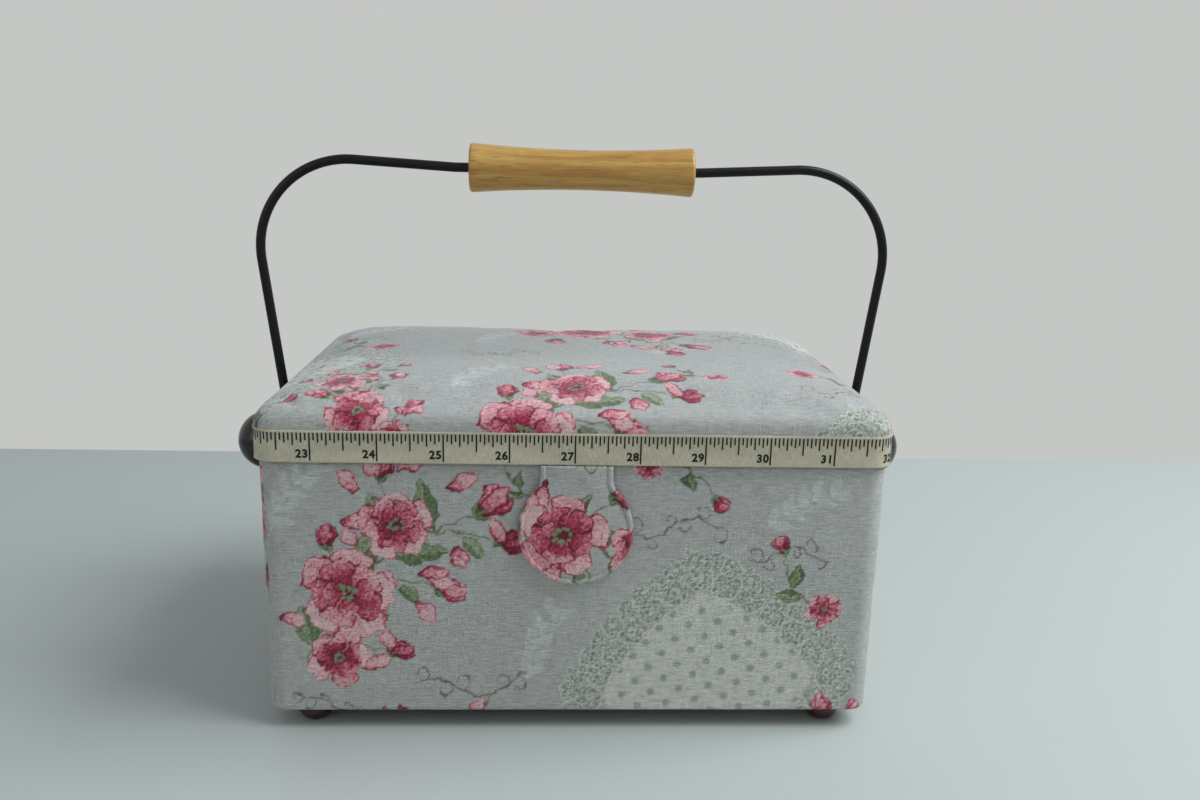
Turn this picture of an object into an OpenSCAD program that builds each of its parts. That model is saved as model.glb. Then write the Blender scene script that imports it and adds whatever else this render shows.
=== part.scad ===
// Fabric covered sewing box with one padded lid, a tape ribbon, a closing tab and a wire handle.
// Origin: bottom centre of the feet. The front faces -Y, and +Z is up.

/* [Body] */
// Width of the body over its cloth
body_w = 248; // [210:1:300]
// Depth of the body over its cloth
body_d = 170; // [145:1:210]
// Height of the body without its feet
body_h = 106.4; // [100:0.1:150]
// Corner radius of the body over its cloth
corner_r = 8; // [4:0.5:14]
// Thickness of the wall boards
wall_t = 5; // [3.5:0.1:6.5]
// Thickness of the base board
base_t = 4; // [3:0.1:6]

/* [Cloth] */
// Thickness of the printed cloth
fabric_t = 0.8; // [0.4:0.1:1.2]
// Thickness of the satin lining
lining_t = 0.8; // [0.4:0.1:1.2]
// Width of the hem turned under the base
hem_w = 8.5; // [6:0.1:9.4]
// Thickness of the covered card on the floor of the box
floor_card_t = 1.5; // [1:0.1:3]

/* [Feet] */
// Height of a foot
foot_h = 8; // [5:0.5:12]
// Diameter of a foot where it meets the base
foot_d = 15; // [12:0.5:18]
// Diameter of the flat under a foot
foot_tip_d = 9; // [6:0.5:11]
// Distance from a foot's centre to the side of the body
foot_inset_x = 17; // [12:0.5:30]
// Distance from a foot's centre to the front or back of the body
foot_inset_y = 11.5; // [11:0.5:25]
// Shaft diameter of a foot screw
foot_screw_d = 3; // [2:0.1:3.5]
// Head diameter of a foot screw
foot_head_d = 5.6; // [5:0.1:6]
// Height of a foot screw's countersunk head
foot_head_h = 1.6; // [1:0.1:2.4]
// Depth of the screw inside the foot
foot_screw_bite = 4.5; // [2:0.1:4.8]

/* [Lid] */
// How far the ribbon stands out past the body's cloth
lid_overhang = 2; // [1.4:0.1:4]
// Gap between the lid and the body
lid_gap = 0.3; // [0.2:0.1:1]
// Thickness of the lid board
lid_board_t = 4; // [3:0.1:6]
// Thickness of the strips under the lid board
lid_rim_t = 5; // [4:0.1:6.5]
// Height of the padding above the ribbon
crown_h = 16.2; // [8:0.1:24]
// How square the padding is: higher is flatter with a tighter edge
crown_square = 4.05; // [2.5:0.05:7]
// How steeply the padding leaves the ribbon
crown_steep = 2.87; // [1.6:0.01:4]
// Length of the pincushion in the lid
pin_pad_w = 96; // [60:1:120]
// Depth of the pincushion in the lid
pin_pad_d = 64; // [40:1:80]
// Thickness of the pincushion
pin_pad_h = 6; // [3:0.1:6.5]
// Corner radius of the pincushion
pin_pad_r = 10; // [6:1:16]

/* [Ribbon] */
// Height of the tape ribbon round the lid
ribbon_h = 12.7; // [10:0.1:16]
// Thickness of the tape ribbon
ribbon_t = 0.5; // [0.3:0.1:0.8]

/* [Tab] */
// Radius of the round end of the tab over its piping
tab_r = 22.8; // [18:0.1:26]
// Distance from the ribbon's lower edge to the centre of the round end
tab_drop = 26.7; // [24:0.1:34]
// Width of the tab's neck over its piping
tab_neck_w = 28.4; // [22:0.1:32]
// Radius of the curve between the neck and the round end
tab_fillet_r = 8; // [5:0.1:12]
// Radius of the piping cord round the tab
piping_r = 1.3; // [0.8:0.05:1.6]
// Thickness of the stiffener in the tab
tab_board_t = 1.6; // [1.2:0.1:2.4]
// Thickness of the tab's cloth and wadding on each side
tab_cloth_t = 0.9; // [0.5:0.05:1.2]
// Gap between the tab and the body
tab_gap = 0.4; // [0.3:0.1:1]
// Diameter of the magnet in the tab
magnet_d = 12; // [8:0.5:16]
// Diameter of the steel disc in the front wall
keeper_d = 16; // [10:0.5:22]
// Thickness of the steel disc in the front wall
keeper_t = 1; // [0.6:0.1:2]

/* [Handle] */
// Distance from the top of a pivot's spacer up to the lid
pivot_below_lid = 6.7; // [1:0.1:20]
// Room for the hand from the top of the padding to the grip's axis
hand_room = 81; // [65:0.5:110]
// Diameter of the handle wire
wire_d = 4.2; // [3.6:0.1:5]
// Radius of the handle's upper bends
bend_r = 40; // [25:1:50]
// Outward lean of the handle's arms in degrees
arm_lean = 7; // [4:0.5:10]
// Rise of the wire from the grip to the bends in degrees
top_rise = 3; // [1:0.5:6]
// Radius of the small bends just outside the grip
kink_r = 30; // [15:1:60]
// Inner radius of the flattened eye at each end of the wire
eye_bore_r = 4; // [3.2:0.1:5]
// Width of the metal round the eye
eye_rim = 4.4; // [3:0.1:5]
// Thickness of the flattened eye
eye_t = 3.4; // [2.4:0.1:4]

/* [Grip] */
// Length of the wooden grip
grip_l = 99; // [80:1:110]
// Diameter of the grip at its ends
grip_end_d = 21.6; // [18:0.1:26]
// Diameter of the grip at its waist
grip_waist_d = 17.4; // [14:0.1:18]
// Rounding of the grip's edges
grip_edge_r = 1.4; // [0.5:0.1:2.5]
// How far the grip has slid to the right
grip_shift = 2; // [0:0.5:3]
// Length of straight wire past each end of a centred grip
wire_straight = 4; // [3.5:0.5:10]

/* [Pivots] */
// Diameter of the ball knobs
knob_d = 27; // [22:0.5:30]
// Diameter of the knob's neck
knob_neck_d = 11.6; // [9:0.1:12]
// Length of the knob's neck
knob_neck_l = 2.5; // [1.5:0.1:4]
// How far the knob's flat back lies inside its ball
knob_back = 6.4; // [3:0.1:8]
// Thickness of the spacer between the body and the eye
spacer_t = 4.3; // [3:0.1:8]
// Diameter of the spacer
spacer_d = 18; // [14:0.5:24]
// Diameter of the pivot screw
pivot_screw_d = 4; // [3:0.1:5]
// Depth of the screw inside the knob
knob_bite = 12; // [8:0.5:15]
// Diameter of the pivot screw's head
pivot_head_d = 7.4; // [6:0.1:9]
// Thickness of the pivot screw's head
pivot_head_t = 2.2; // [1.5:0.1:2.6]
// Diameter of the washer inside the box
washer_d = 13; // [10:0.5:16]
// Thickness of the washer inside the box
washer_t = 1; // [0.6:0.1:1.2]

/* [Hinges] */
// Distance of each hinge from the middle of the back
hinge_x = 70; // [40:1:85]
// Width of a hinge
hinge_w = 26; // [20:1:36]
// Height of a hinge leaf below or above the pin
leaf_h = 12; // [10:0.1:12.2]
// Thickness of a hinge leaf
leaf_t = 1; // [0.7:0.1:1.4]
// Distance of a leaf's screws below or above the pin
hinge_screw_z = 7.4; // [6:0.1:8.5]
// Outer radius of the hinge's knuckles
knuckle_r = 2.4; // [1.9:0.1:2.7]
// Radius of the hinge pin
hinge_pin_r = 0.9; // [0.7:0.05:1.2]
// Shaft diameter of a hinge screw
hinge_screw_d = 2; // [1.5:0.1:2.4]
// Head diameter of a hinge screw
hinge_head_d = 4; // [3:0.1:4.6]
// Head height of a hinge screw
hinge_head_h = 0.9; // [0.5:0.1:1.2]
// Depth of a hinge screw in the wood
hinge_screw_bite = 4; // [2.5:0.1:4.4]

/* [Tray] */
// Room between the tray's ends and the lining, which clears the pivot screws' heads
tray_end_gap = 5.4; // [4.6:0.1:8]
// Room between the tray's long sides and the lining
tray_side_gap = 1.4; // [0.8:0.1:4]
// Height of the tray
tray_h = 35; // [20:1:45]
// Thickness of the tray's walls
tray_wall = 1.8; // [1.2:0.1:3]
// Thickness of the tray's floor
tray_floor = 1.8; // [1.2:0.1:3]
// Corner radius of the tray
tray_corner_r = 8; // [4:0.5:14]
// Distance of the long divider behind the middle of the tray
tray_split_y = 14; // [-20:1:30]
// Radius of the finger notches in the tray's ends
notch_r = 12; // [8:0.5:16]
// Place of the finger notches, behind the middle of the tray
notch_y = -31; // [-40:1:0]
// How far the tray's edge lies below the top of the body
tray_below_top = 3; // [2:0.5:8]
// How far the tray's ends reach over the strips that carry it
ledge_reach = 3.6; // [2:0.2:8]
// Height of the strips that carry the tray
ledge_h = 6; // [4:0.5:12]

/* [Hidden] */

$fn = 48;
// Working clearances: a screw in its hole, and a shaft that turns in its bore
screw_clear = 0.1;
run_clear = 0.07;
// Axial clearance on each side of the wire's eye, and of a hinge knuckle
side_clear = 0.3;
// Clearance of the knuckles from the ribbon, and of the tab from the ribbon
knuckle_clear = 0.25;
tab_top_gap = 0.3;
// A bend is drawn a hair thinner than the straight rods, which lap over its ends
joint_lap = 0.7;
bend_slim = 0.03;
// Spare depth under a screw, gap between boards that meet, and overlap of two shapes of one piece
hole_spare = 0.2;
board_clear = 0.05;
lap = 0.01;
// How far a cutting shape runs past what it cuts
cut = 1;
// How square the padding is in plan, and how fast its corners turn round towards the middle
plan_square = 8;
corner_fade = 4;

// Levels
base_z = foot_h;
top_z = base_z + body_h;
board_z = base_z + fabric_t;
floor_z = board_z + base_t;
lid_z = top_z + lid_gap;
lid_top_z = lid_z + ribbon_h;
lid_board_z = lid_top_z - lid_board_t;
tray_z = top_z - tray_below_top - tray_h;

// Plan sizes
board_w = body_w - 2 * fabric_t;
board_d = body_d - 2 * fabric_t;
inner_w = board_w - 2 * wall_t;
inner_d = board_d - 2 * wall_t;
cavity_w = inner_w - 2 * lining_t;
cavity_d = inner_d - 2 * lining_t;
tray_w = cavity_w - 2 * tray_end_gap;
tray_d = cavity_d - 2 * tray_side_gap;
ribbon_w = body_w + 2 * lid_overhang;
ribbon_d = body_d + 2 * lid_overhang;
cover_w = ribbon_w - 2 * ribbon_t;
cover_d = ribbon_d - 2 * ribbon_t;
lid_w = cover_w - 2 * fabric_t;
lid_d = cover_d - 2 * fabric_t;
recess_w = lid_w - 2 * lid_rim_t;
recess_d = lid_d - 2 * lid_rim_t;
board_r = corner_r - fabric_t;
ribbon_r = corner_r + lid_overhang;
cover_r = ribbon_r - ribbon_t;
lid_r = cover_r - fabric_t;

// Handle
wire_r = wire_d / 2;
pivot_z = lid_z - pivot_below_lid - spacer_d / 2;
grip_z = lid_top_z + crown_h + hand_room;
eye_r = eye_bore_r + eye_rim;
eye_x = body_w / 2 + spacer_t + side_clear + eye_t / 2;
knob_x = eye_x + eye_t / 2 + side_clear;
knob_r = knob_d / 2;
ball_x = knob_x + knob_neck_l + knob_back;
kink_x = grip_l / 2 + wire_straight;
bush_r = eye_bore_r - run_clear;
rise_x = kink_x + kink_r * tan(top_rise / 2);

// The arm's line starts inside the eye's rim, clear of the knob's neck and of the spacer, and the top
// wire's line starts on the grip's axis. Both are tangent to the bend, whose centre follows from them.
arm_x = eye_x - eye_t / 2 + wire_r;
arm_z = pivot_z + knob_neck_d / 2 + side_clear + wire_r * sin(arm_lean);
arm_side = bend_r - cos(arm_lean) * arm_x + sin(arm_lean) * arm_z;
top_side = bend_r + sin(top_rise) * rise_x - cos(top_rise) * grip_z;
line_det = cos(arm_lean + top_rise);
bend_x = (-cos(top_rise) * arm_side - sin(arm_lean) * top_side) / line_det;
bend_z = (-cos(arm_lean) * top_side - sin(top_rise) * arm_side) / line_det;
arm_l = (bend_z - bend_r * sin(arm_lean) - arm_z) / cos(arm_lean);
top_l = (bend_x - bend_r * sin(top_rise) - kink_x - kink_r * sin(top_rise)) / cos(top_rise);

// Hinges
hinge_y = ribbon_d / 2 + knuckle_clear + knuckle_r;
hinge_z = top_z + lid_gap / 2;
knuckle_w = hinge_w / 3;
lid_leaf_low = knuckle_r + side_clear;

// Tab
tab_thick = tab_board_t + 2 * tab_cloth_t;
tab_back_y = -body_d / 2 - tab_gap;
tab_centre_z = lid_z - tab_drop;
tab_top_z = lid_z - tab_top_gap;
piping_y = tab_back_y - tab_thick / 2;

// Tray
tray_inner_w = tray_w - 2 * tray_wall;
tray_inner_d = tray_d - 2 * tray_wall;
tray_third_w = (tray_inner_w - 2 * tray_wall) / 3;

module at_feet() {
  for (x = [-1, 1], y = [-1, 1])
    translate([x * (body_w / 2 - foot_inset_x), y * (body_d / 2 - foot_inset_y), 0])
      children();
}

// The side fittings are drawn on the right, with X outwards, and mirrored to the left
module both_sides() {
  children();
  mirror([1, 0, 0]) children();
}

module along_x() {
  rotate([0, 90, 0]) children();
}

module rounded_block(w, d, h, r) {
  translate([-w / 2, -d / 2 + r, 0]) cube([w, d - 2 * r, h]);
  translate([-w / 2 + r, -d / 2, 0]) cube([w - 2 * r, d, h]);
  for (x = [-1, 1], y = [-1, 1])
    translate([x * (w / 2 - r), y * (d / 2 - r), 0]) cylinder(h = h, r = r);
}

module centred_block(w, d, h) {
  translate([-w / 2, -d / 2, 0]) cube([w, d, h]);
}

// Side positions of the hinge screws, two in each leaf
module at_hinge_screws(up) {
  for (side = [-1, 1], x = [-1, 1])
    translate([side * hinge_x + x * hinge_w / 4, 0, hinge_z + up * hinge_screw_z])
      children();
}

// A screw whose head seats at face_y and whose shaft runs towards -Y
module hinge_screw(face_y, shaft_l) {
  translate([0, face_y, 0]) rotate([90, 0, 0]) cylinder(h = shaft_l, d = hinge_screw_d);
  translate([0, face_y + hinge_head_h, 0])
    rotate([90, 0, 0]) cylinder(h = hinge_head_h, d1 = hinge_head_d - 2 * hinge_head_h, d2 = hinge_head_d);
}

module hinge_screw_hole(from_y, to_y) {
  translate([0, to_y, 0])
    rotate([90, 0, 0]) cylinder(h = to_y - from_y, d = hinge_screw_d + 2 * screw_clear);
}

module body_screw_holes() {
  at_hinge_screws(-1)
    hinge_screw_hole(body_d / 2 - fabric_t - hinge_screw_bite - hole_spare, body_d / 2 + cut);
}

module lid_screw_holes() {
  at_hinge_screws(1) hinge_screw_hole(lid_d / 2 - hinge_screw_bite - hole_spare, ribbon_d / 2 + cut);
}

module pivot_hole(x_from, x_to) {
  both_sides()
    translate([x_from, 0, pivot_z]) along_x()
      cylinder(h = x_to - x_from, d = pivot_screw_d + 2 * screw_clear);
}

module body_boards() {
  translate([0, 0, board_z]) rounded_block(board_w, board_d, body_h - 2 * fabric_t, board_r);
}

module base_board() {
  color("#b08a5c")
    difference() {
      translate([0, 0, board_z]) centred_block(inner_w, inner_d, base_t);
      at_feet() {
        translate([0, 0, board_z - cut])
          cylinder(h = base_t + 2 * cut, d = foot_screw_d + 2 * screw_clear);
        translate([0, 0, floor_z - foot_head_h])
          cylinder(h = foot_head_h, d1 = foot_screw_d + 2 * screw_clear, d2 = foot_head_d + 2 * screw_clear);
        translate([0, 0, floor_z - lap]) cylinder(h = cut, d = foot_head_d + 2 * screw_clear);
      }
    }
}

module front_panel() {
  color("#b08a5c")
    difference() {
      intersection() {
        body_boards();
        translate([-board_w / 2, -board_d / 2, 0]) cube([board_w, wall_t, top_z]);
      }
      translate([0, -board_d / 2 + keeper_t, tab_centre_z])
        rotate([90, 0, 0]) cylinder(h = keeper_t + cut, d = keeper_d + 2 * screw_clear);
    }
}

module back_panel() {
  color("#b08a5c")
    difference() {
      intersection() {
        body_boards();
        translate([-board_w / 2, board_d / 2 - wall_t, 0]) cube([board_w, wall_t, top_z]);
      }
      body_screw_holes();
    }
}

module side_board(side) {
  color("#b08a5c")
    difference() {
      intersection() {
        body_boards();
        translate([side * (board_w - wall_t) / 2, 0, 0]) centred_block(wall_t, inner_d, top_z);
      }
      pivot_hole(inner_w / 2 - cut, board_w / 2 + cut);
    }
}

module left_panel() {
  side_board(-1);
}

module right_panel() {
  side_board(1);
}

module outer_fabric() {
  color("#b9b7ab")
    difference() {
      translate([0, 0, base_z]) rounded_block(body_w, body_d, body_h, corner_r);
      body_boards();
      translate([0, 0, top_z - fabric_t - cut]) centred_block(inner_w, inner_d, fabric_t + 2 * cut);
      translate([0, 0, base_z - cut])
        centred_block(body_w - 2 * hem_w, body_d - 2 * hem_w, fabric_t + 2 * cut);
      pivot_hole(board_w / 2 - cut, body_w / 2 + cut);
      body_screw_holes();
    }
}

module base_cloth() {
  color("#3a3634")
    difference() {
      translate([0, 0, base_z]) centred_block(body_w - 2 * hem_w, body_d - 2 * hem_w, fabric_t);
      at_feet() translate([0, 0, base_z - cut])
        cylinder(h = fabric_t + 2 * cut, d = foot_screw_d + 2 * screw_clear);
    }
}

module wall_lining() {
  color("#ded6c8")
    difference() {
      translate([0, 0, floor_z]) centred_block(inner_w, inner_d, top_z - floor_z);
      translate([0, 0, floor_z - cut]) centred_block(cavity_w, cavity_d, top_z - floor_z + 2 * cut);
      pivot_hole(cavity_w / 2 - cut, inner_w / 2 + cut);
    }
}

module floor_card() {
  color("#ded6c8") translate([0, 0, floor_z]) centred_block(cavity_w, cavity_d, floor_card_t);
}

// A slice of a ball, with its radius at the base and at the tip both as set
module foot() {
  ball_z = (pow(foot_d / 2, 2) + foot_h * foot_h - pow(foot_tip_d / 2, 2)) / (2 * foot_h);
  ball_r = sqrt(pow(foot_tip_d / 2, 2) + ball_z * ball_z);
  difference() {
    intersection() {
      translate([0, 0, ball_z]) sphere(r = ball_r);
      cylinder(h = foot_h, r = ball_r + cut);
    }
    translate([0, 0, foot_h - foot_screw_bite - hole_spare])
      cylinder(h = foot_screw_bite + cut, d = foot_screw_d + 2 * screw_clear);
  }
}

module feet() {
  color("#33212b") at_feet() foot();
}

module foot_screws() {
  color("silver") at_feet() {
    translate([0, 0, foot_h - foot_screw_bite])
      cylinder(h = foot_screw_bite + fabric_t + base_t - foot_head_h + lap, d = foot_screw_d);
    translate([0, 0, floor_z - foot_head_h]) cylinder(h = foot_head_h, d1 = foot_screw_d, d2 = foot_head_d);
  }
}

module tray_ledges() {
  ledge_w = tray_end_gap + ledge_reach;
  color("#ded6c8") both_sides()
    translate([cavity_w / 2 - ledge_w, -cavity_d / 2, tray_z - ledge_h])
      cube([ledge_w, cavity_d, ledge_h]);
}

module keeper_disc() {
  color("silver") translate([0, -board_d / 2 + keeper_t, tab_centre_z])
    rotate([90, 0, 0]) cylinder(h = keeper_t, d = keeper_d);
}

module pivot_spacers() {
  color("#161616") both_sides()
    translate([body_w / 2, 0, pivot_z]) along_x()
      difference() {
        cylinder(h = spacer_t, d = spacer_d);
        translate([0, 0, -cut]) cylinder(h = spacer_t + 2 * cut, d = pivot_screw_d + 2 * screw_clear);
      }
}

module pivot_bushes() {
  bush_x = body_w / 2 + spacer_t;
  color("silver") both_sides()
    translate([bush_x, 0, pivot_z]) along_x()
      difference() {
        cylinder(h = knob_x - bush_x, r = bush_r);
        translate([0, 0, -cut])
          cylinder(h = knob_x - bush_x + 2 * cut, d = pivot_screw_d + 2 * screw_clear);
      }
}

module pivot_knobs() {
  color("#101010") both_sides()
    difference() {
      union() {
        intersection() {
          translate([ball_x, 0, pivot_z]) sphere(r = knob_r, $fn = 64);
          translate([knob_x + knob_neck_l, 0, pivot_z]) along_x() cylinder(h = 2 * knob_r, r = knob_r + cut);
        }
        translate([knob_x, 0, pivot_z]) along_x() cylinder(h = knob_neck_l + cut, d = knob_neck_d);
      }
      translate([knob_x - cut, 0, pivot_z]) along_x()
        cylinder(h = knob_bite + hole_spare + cut, d = pivot_screw_d + 2 * screw_clear);
    }
}

module pivot_screws() {
  head_x = cavity_w / 2 - washer_t;
  color("silver") both_sides() {
    translate([head_x - lap, 0, pivot_z]) along_x()
      cylinder(h = knob_x + knob_bite - head_x, d = pivot_screw_d);
    translate([head_x - pivot_head_t, 0, pivot_z]) along_x() cylinder(h = pivot_head_t, d = pivot_head_d);
  }
}

module pivot_washers() {
  color("silver") both_sides()
    translate([cavity_w / 2 - washer_t, 0, pivot_z]) along_x()
      difference() {
        cylinder(h = washer_t, d = washer_d);
        translate([0, 0, -cut]) cylinder(h = washer_t + 2 * cut, d = pivot_screw_d + 2 * screw_clear);
      }
}

module hinge_pin_bore() {
  translate([-hinge_w / 2 - cut, hinge_y, hinge_z]) along_x()
    cylinder(h = hinge_w + 2 * cut, r = hinge_pin_r + run_clear);
}

// The outer two knuckles belong to the body leaf, and the middle one to the lid leaf
module hinge_body_leaf() {
  leaf_y = body_d / 2;
  difference() {
    union() {
      translate([-hinge_w / 2, leaf_y, hinge_z - leaf_h])
        cube([hinge_w, leaf_t, leaf_h - knuckle_r + leaf_t]);
      for (x = [-hinge_w / 2, hinge_w / 2 - knuckle_w]) {
        translate([x, leaf_y, hinge_z - knuckle_r]) cube([knuckle_w, hinge_y - leaf_y, leaf_t]);
        translate([x, hinge_y, hinge_z]) along_x() cylinder(h = knuckle_w, r = knuckle_r);
      }
    }
    hinge_pin_bore();
    for (x = [-1, 1])
      translate([x * hinge_w / 4, 0, hinge_z - hinge_screw_z])
        hinge_screw_hole(leaf_y - cut, leaf_y + leaf_t + cut);
  }
}

module hinge_lid_leaf() {
  leaf_y = ribbon_d / 2;
  middle_w = knuckle_w - 2 * side_clear;
  difference() {
    union() {
      translate([-hinge_w / 2, leaf_y, hinge_z + lid_leaf_low])
        cube([hinge_w, leaf_t, leaf_h - lid_leaf_low]);
      translate([-middle_w / 2, leaf_y, hinge_z]) cube([middle_w, leaf_t, lid_leaf_low + cut]);
      translate([-middle_w / 2, hinge_y, hinge_z]) along_x() cylinder(h = middle_w, r = knuckle_r);
    }
    hinge_pin_bore();
    for (x = [-1, 1])
      translate([x * hinge_w / 4, 0, hinge_z + hinge_screw_z])
        hinge_screw_hole(leaf_y - cut, leaf_y + leaf_t + cut);
  }
}

module hinge_body_leaves() {
  color("#8d8f90") for (side = [-1, 1])
    translate([side * hinge_x, 0, 0]) hinge_body_leaf();
}

module hinge_lid_leaves() {
  color("#8d8f90") for (side = [-1, 1])
    translate([side * hinge_x, 0, 0]) hinge_lid_leaf();
}

module hinge_pins() {
  color("silver") for (side = [-1, 1])
    translate([side * hinge_x - hinge_w / 2, hinge_y, hinge_z]) along_x()
      cylinder(h = hinge_w, r = hinge_pin_r);
}

module hinge_body_screws() {
  color("silver") at_hinge_screws(-1)
    hinge_screw(body_d / 2 + leaf_t, leaf_t + fabric_t + hinge_screw_bite);
}

module hinge_lid_screws() {
  color("silver") at_hinge_screws(1)
    hinge_screw(ribbon_d / 2 + leaf_t, leaf_t + ribbon_t + fabric_t + hinge_screw_bite);
}

module lid_board() {
  color("#b08a5c") translate([0, 0, lid_board_z]) rounded_block(lid_w, lid_d, lid_board_t, lid_r);
}

module lid_rim_strips() {
  strip_z = lid_z + fabric_t;
  strip_h = lid_board_z - strip_z;
  color("#b08a5c")
    difference() {
      union() {
        for (y = [-1, 1])
          intersection() {
            translate([0, 0, strip_z]) rounded_block(lid_w, lid_d, strip_h, lid_r);
            translate([0, y * (lid_d - lid_rim_t) / 2, 0]) centred_block(lid_w, lid_rim_t, lid_top_z);
          }
        for (x = [-1, 1])
          intersection() {
            translate([0, 0, strip_z]) rounded_block(lid_w, lid_d, strip_h, lid_r);
            translate([x * (lid_w - lid_rim_t) / 2, 0, 0])
              centred_block(lid_rim_t, recess_d - 2 * board_clear, lid_top_z);
          }
      }
      lid_screw_holes();
    }
}

// Outline of a rounded rectangle: five points on each corner and some along each side
function corner_points(w, d, r) =
  [for (q = [0 : 3]) let (cx = (w / 2 - r) * (q == 0 || q == 3 ? 1 : -1),
                          cy = (d / 2 - r) * (q < 2 ? 1 : -1))
    [for (k = [0 : 4]) [cx + r * cos(90 * q + 22.5 * k), cy + r * sin(90 * q + 22.5 * k)]]];

function outline_points(w, d, r) =
  let (corners = corner_points(w, d, r))
  [for (q = [0 : 3])
     let (n = q % 2 == 0 ? 9 : 6, a = corners[q][4], b = corners[(q + 1) % 4][0])
    each concat(corners[q], [for (i = [1 : n - 1]) a + (b - a) * i / n])];

// How far a point lies from the middle of the plan, where 1 is on the squarish outline
function plan_reach(p, w, d) =
  pow(pow(abs(p[0]) / (w / 2), plan_square) + pow(abs(p[1]) / (d / 2), plan_square), 1 / plan_square);

// Height of the padding at a point that lies a share s of the way to the point edge of the outline.
// It is full in the middle and none on the outline.
function pad_height(p, edge, s, w, d, h) =
  let (m = plan_reach(p, w, d) / (1 + (plan_reach(edge, w, d) - 1) * pow(s, corner_fade)))
  h * pow(max(0, 1 - pow(m, crown_square)), 1 / crown_steep);

// Rings of points from the outline to the middle, and the middle itself
pad_steps = [1, 0.99, 0.97, 0.94, 0.9, 0.84, 0.75, 0.62, 0.45, 0.25];
function pad_points(w, d, r, h) =
  let (edge = outline_points(w, d, r))
  concat([for (s = pad_steps, p = edge)
            [p[0] * s, p[1] * s, s == 1 ? 0 : pad_height(p * s, p, s, w, d, h)]], [[0, 0, h]]);

// Faces over the rings, which start at one point number and may face inwards
function pad_faces(n, first, inward) =
  let (rings = len(pad_steps), top = first + rings * n,
       out = concat(
         [for (k = [0 : rings - 2], i = [0 : n - 1]) let (a = first + k * n, j = (i + 1) % n)
           each [[a + i, a + n + i, a + n + j], [a + i, a + n + j, a + j]]],
         [for (i = [0 : n - 1]) let (a = first + (rings - 1) * n) [a + i, top, a + (i + 1) % n]]))
  [for (f = out) inward ? [f[0], f[2], f[1]] : f];

// A padded form on a flat base
module padding(w, d, r, h) {
  n = len(outline_points(w, d, r));
  base = len(pad_steps) * n + 1;
  polyhedron(points = concat(pad_points(w, d, r, h), [[0, 0, 0]]),
             faces = concat(pad_faces(n, 0, false), [for (i = [0 : n - 1]) [i, (i + 1) % n, base]]));
}

// The cloth over a padded form, open below
module padding_skin(w, d, r, h, t) {
  n = len(outline_points(w, d, r));
  inner = len(pad_steps) * n + 1;
  polyhedron(points = concat(pad_points(w, d, r, h), pad_points(w - 2 * t, d - 2 * t, r - t, h - t)),
             faces = concat(pad_faces(n, 0, false), pad_faces(n, inner, true),
                            [for (i = [0 : n - 1]) let (j = (i + 1) % n)
                              each [[i, j, inner + j], [i, inner + j, inner + i]]]));
}

module lid_wadding() {
  color("#f1efe8") translate([0, 0, lid_top_z])
    padding(cover_w - 2 * fabric_t, cover_d - 2 * fabric_t, cover_r - fabric_t, crown_h - fabric_t);
}

module lid_cover() {
  color("#b9b7ab") translate([0, 0, lid_top_z]) padding_skin(cover_w, cover_d, cover_r, crown_h, fabric_t);
}

module lid_edge_cloth() {
  color("#b9b7ab")
    difference() {
      translate([0, 0, lid_z]) rounded_block(cover_w, cover_d, ribbon_h, cover_r);
      translate([0, 0, lid_z + fabric_t]) rounded_block(lid_w, lid_d, ribbon_h, lid_r);
      translate([0, 0, lid_z - cut]) centred_block(recess_w, recess_d, fabric_t + 2 * cut);
      lid_screw_holes();
    }
}

module tape_ribbon() {
  color("#cbbf9b")
    difference() {
      translate([0, 0, lid_z]) rounded_block(ribbon_w, ribbon_d, ribbon_h, ribbon_r);
      translate([0, 0, lid_z - cut]) rounded_block(cover_w, cover_d, ribbon_h + 2 * cut, cover_r);
      lid_screw_holes();
    }
}

module lid_lining() {
  color("#ded6c8")
    difference() {
      translate([0, 0, lid_z]) centred_block(recess_w, recess_d, lid_board_z - lid_z);
      translate([0, 0, lid_z - cut])
        centred_block(recess_w - 2 * lining_t, recess_d - 2 * lining_t, lid_board_z - lid_z - lining_t + cut);
    }
}

module pincushion() {
  color("#c9506a") translate([0, 0, lid_board_z - lining_t])
    mirror([0, 0, 1]) padding(pin_pad_w, pin_pad_d, pin_pad_r, pin_pad_h);
}

// The tab's neck runs down, curves out and joins the round end, with the origin at that end's centre.
// This is the centre of the right curve.
function tab_join() =
  let (x = tab_neck_w / 2 + tab_fillet_r, reach = tab_r + tab_fillet_r)
  [x, sqrt(reach * reach - x * x)];

// Outline of the tab in its own plane, drawn in by some distance
function tab_outline(inset) =
  let (c = tab_join(), a = atan2(c[1], c[0]), r = tab_r - inset, f = tab_fillet_r + inset,
       top = tab_top_z - tab_centre_z,
       round_end = [for (t = [180 - a : (2 * a + 180) / 36 : 360 + a + lap]) [r * cos(t), r * sin(t)]],
       right = [for (t = [180 + a : -a / 6 : 180 - lap]) [c[0] + f * cos(t), c[1] + f * sin(t)]],
       left = [for (i = [len(right) - 1 : -1 : 0]) [-right[i][0], right[i][1]]])
  concat(round_end, [for (i = [1 : len(right) - 1]) right[i]],
         [[c[0] - f, top], [f - c[0], top]], [for (i = [0 : len(left) - 2]) left[i]]);

module tab_plate(inset, y, t) {
  translate([0, y, tab_centre_z]) rotate([90, 0, 0]) linear_extrude(t) polygon(tab_outline(inset));
}

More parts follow.
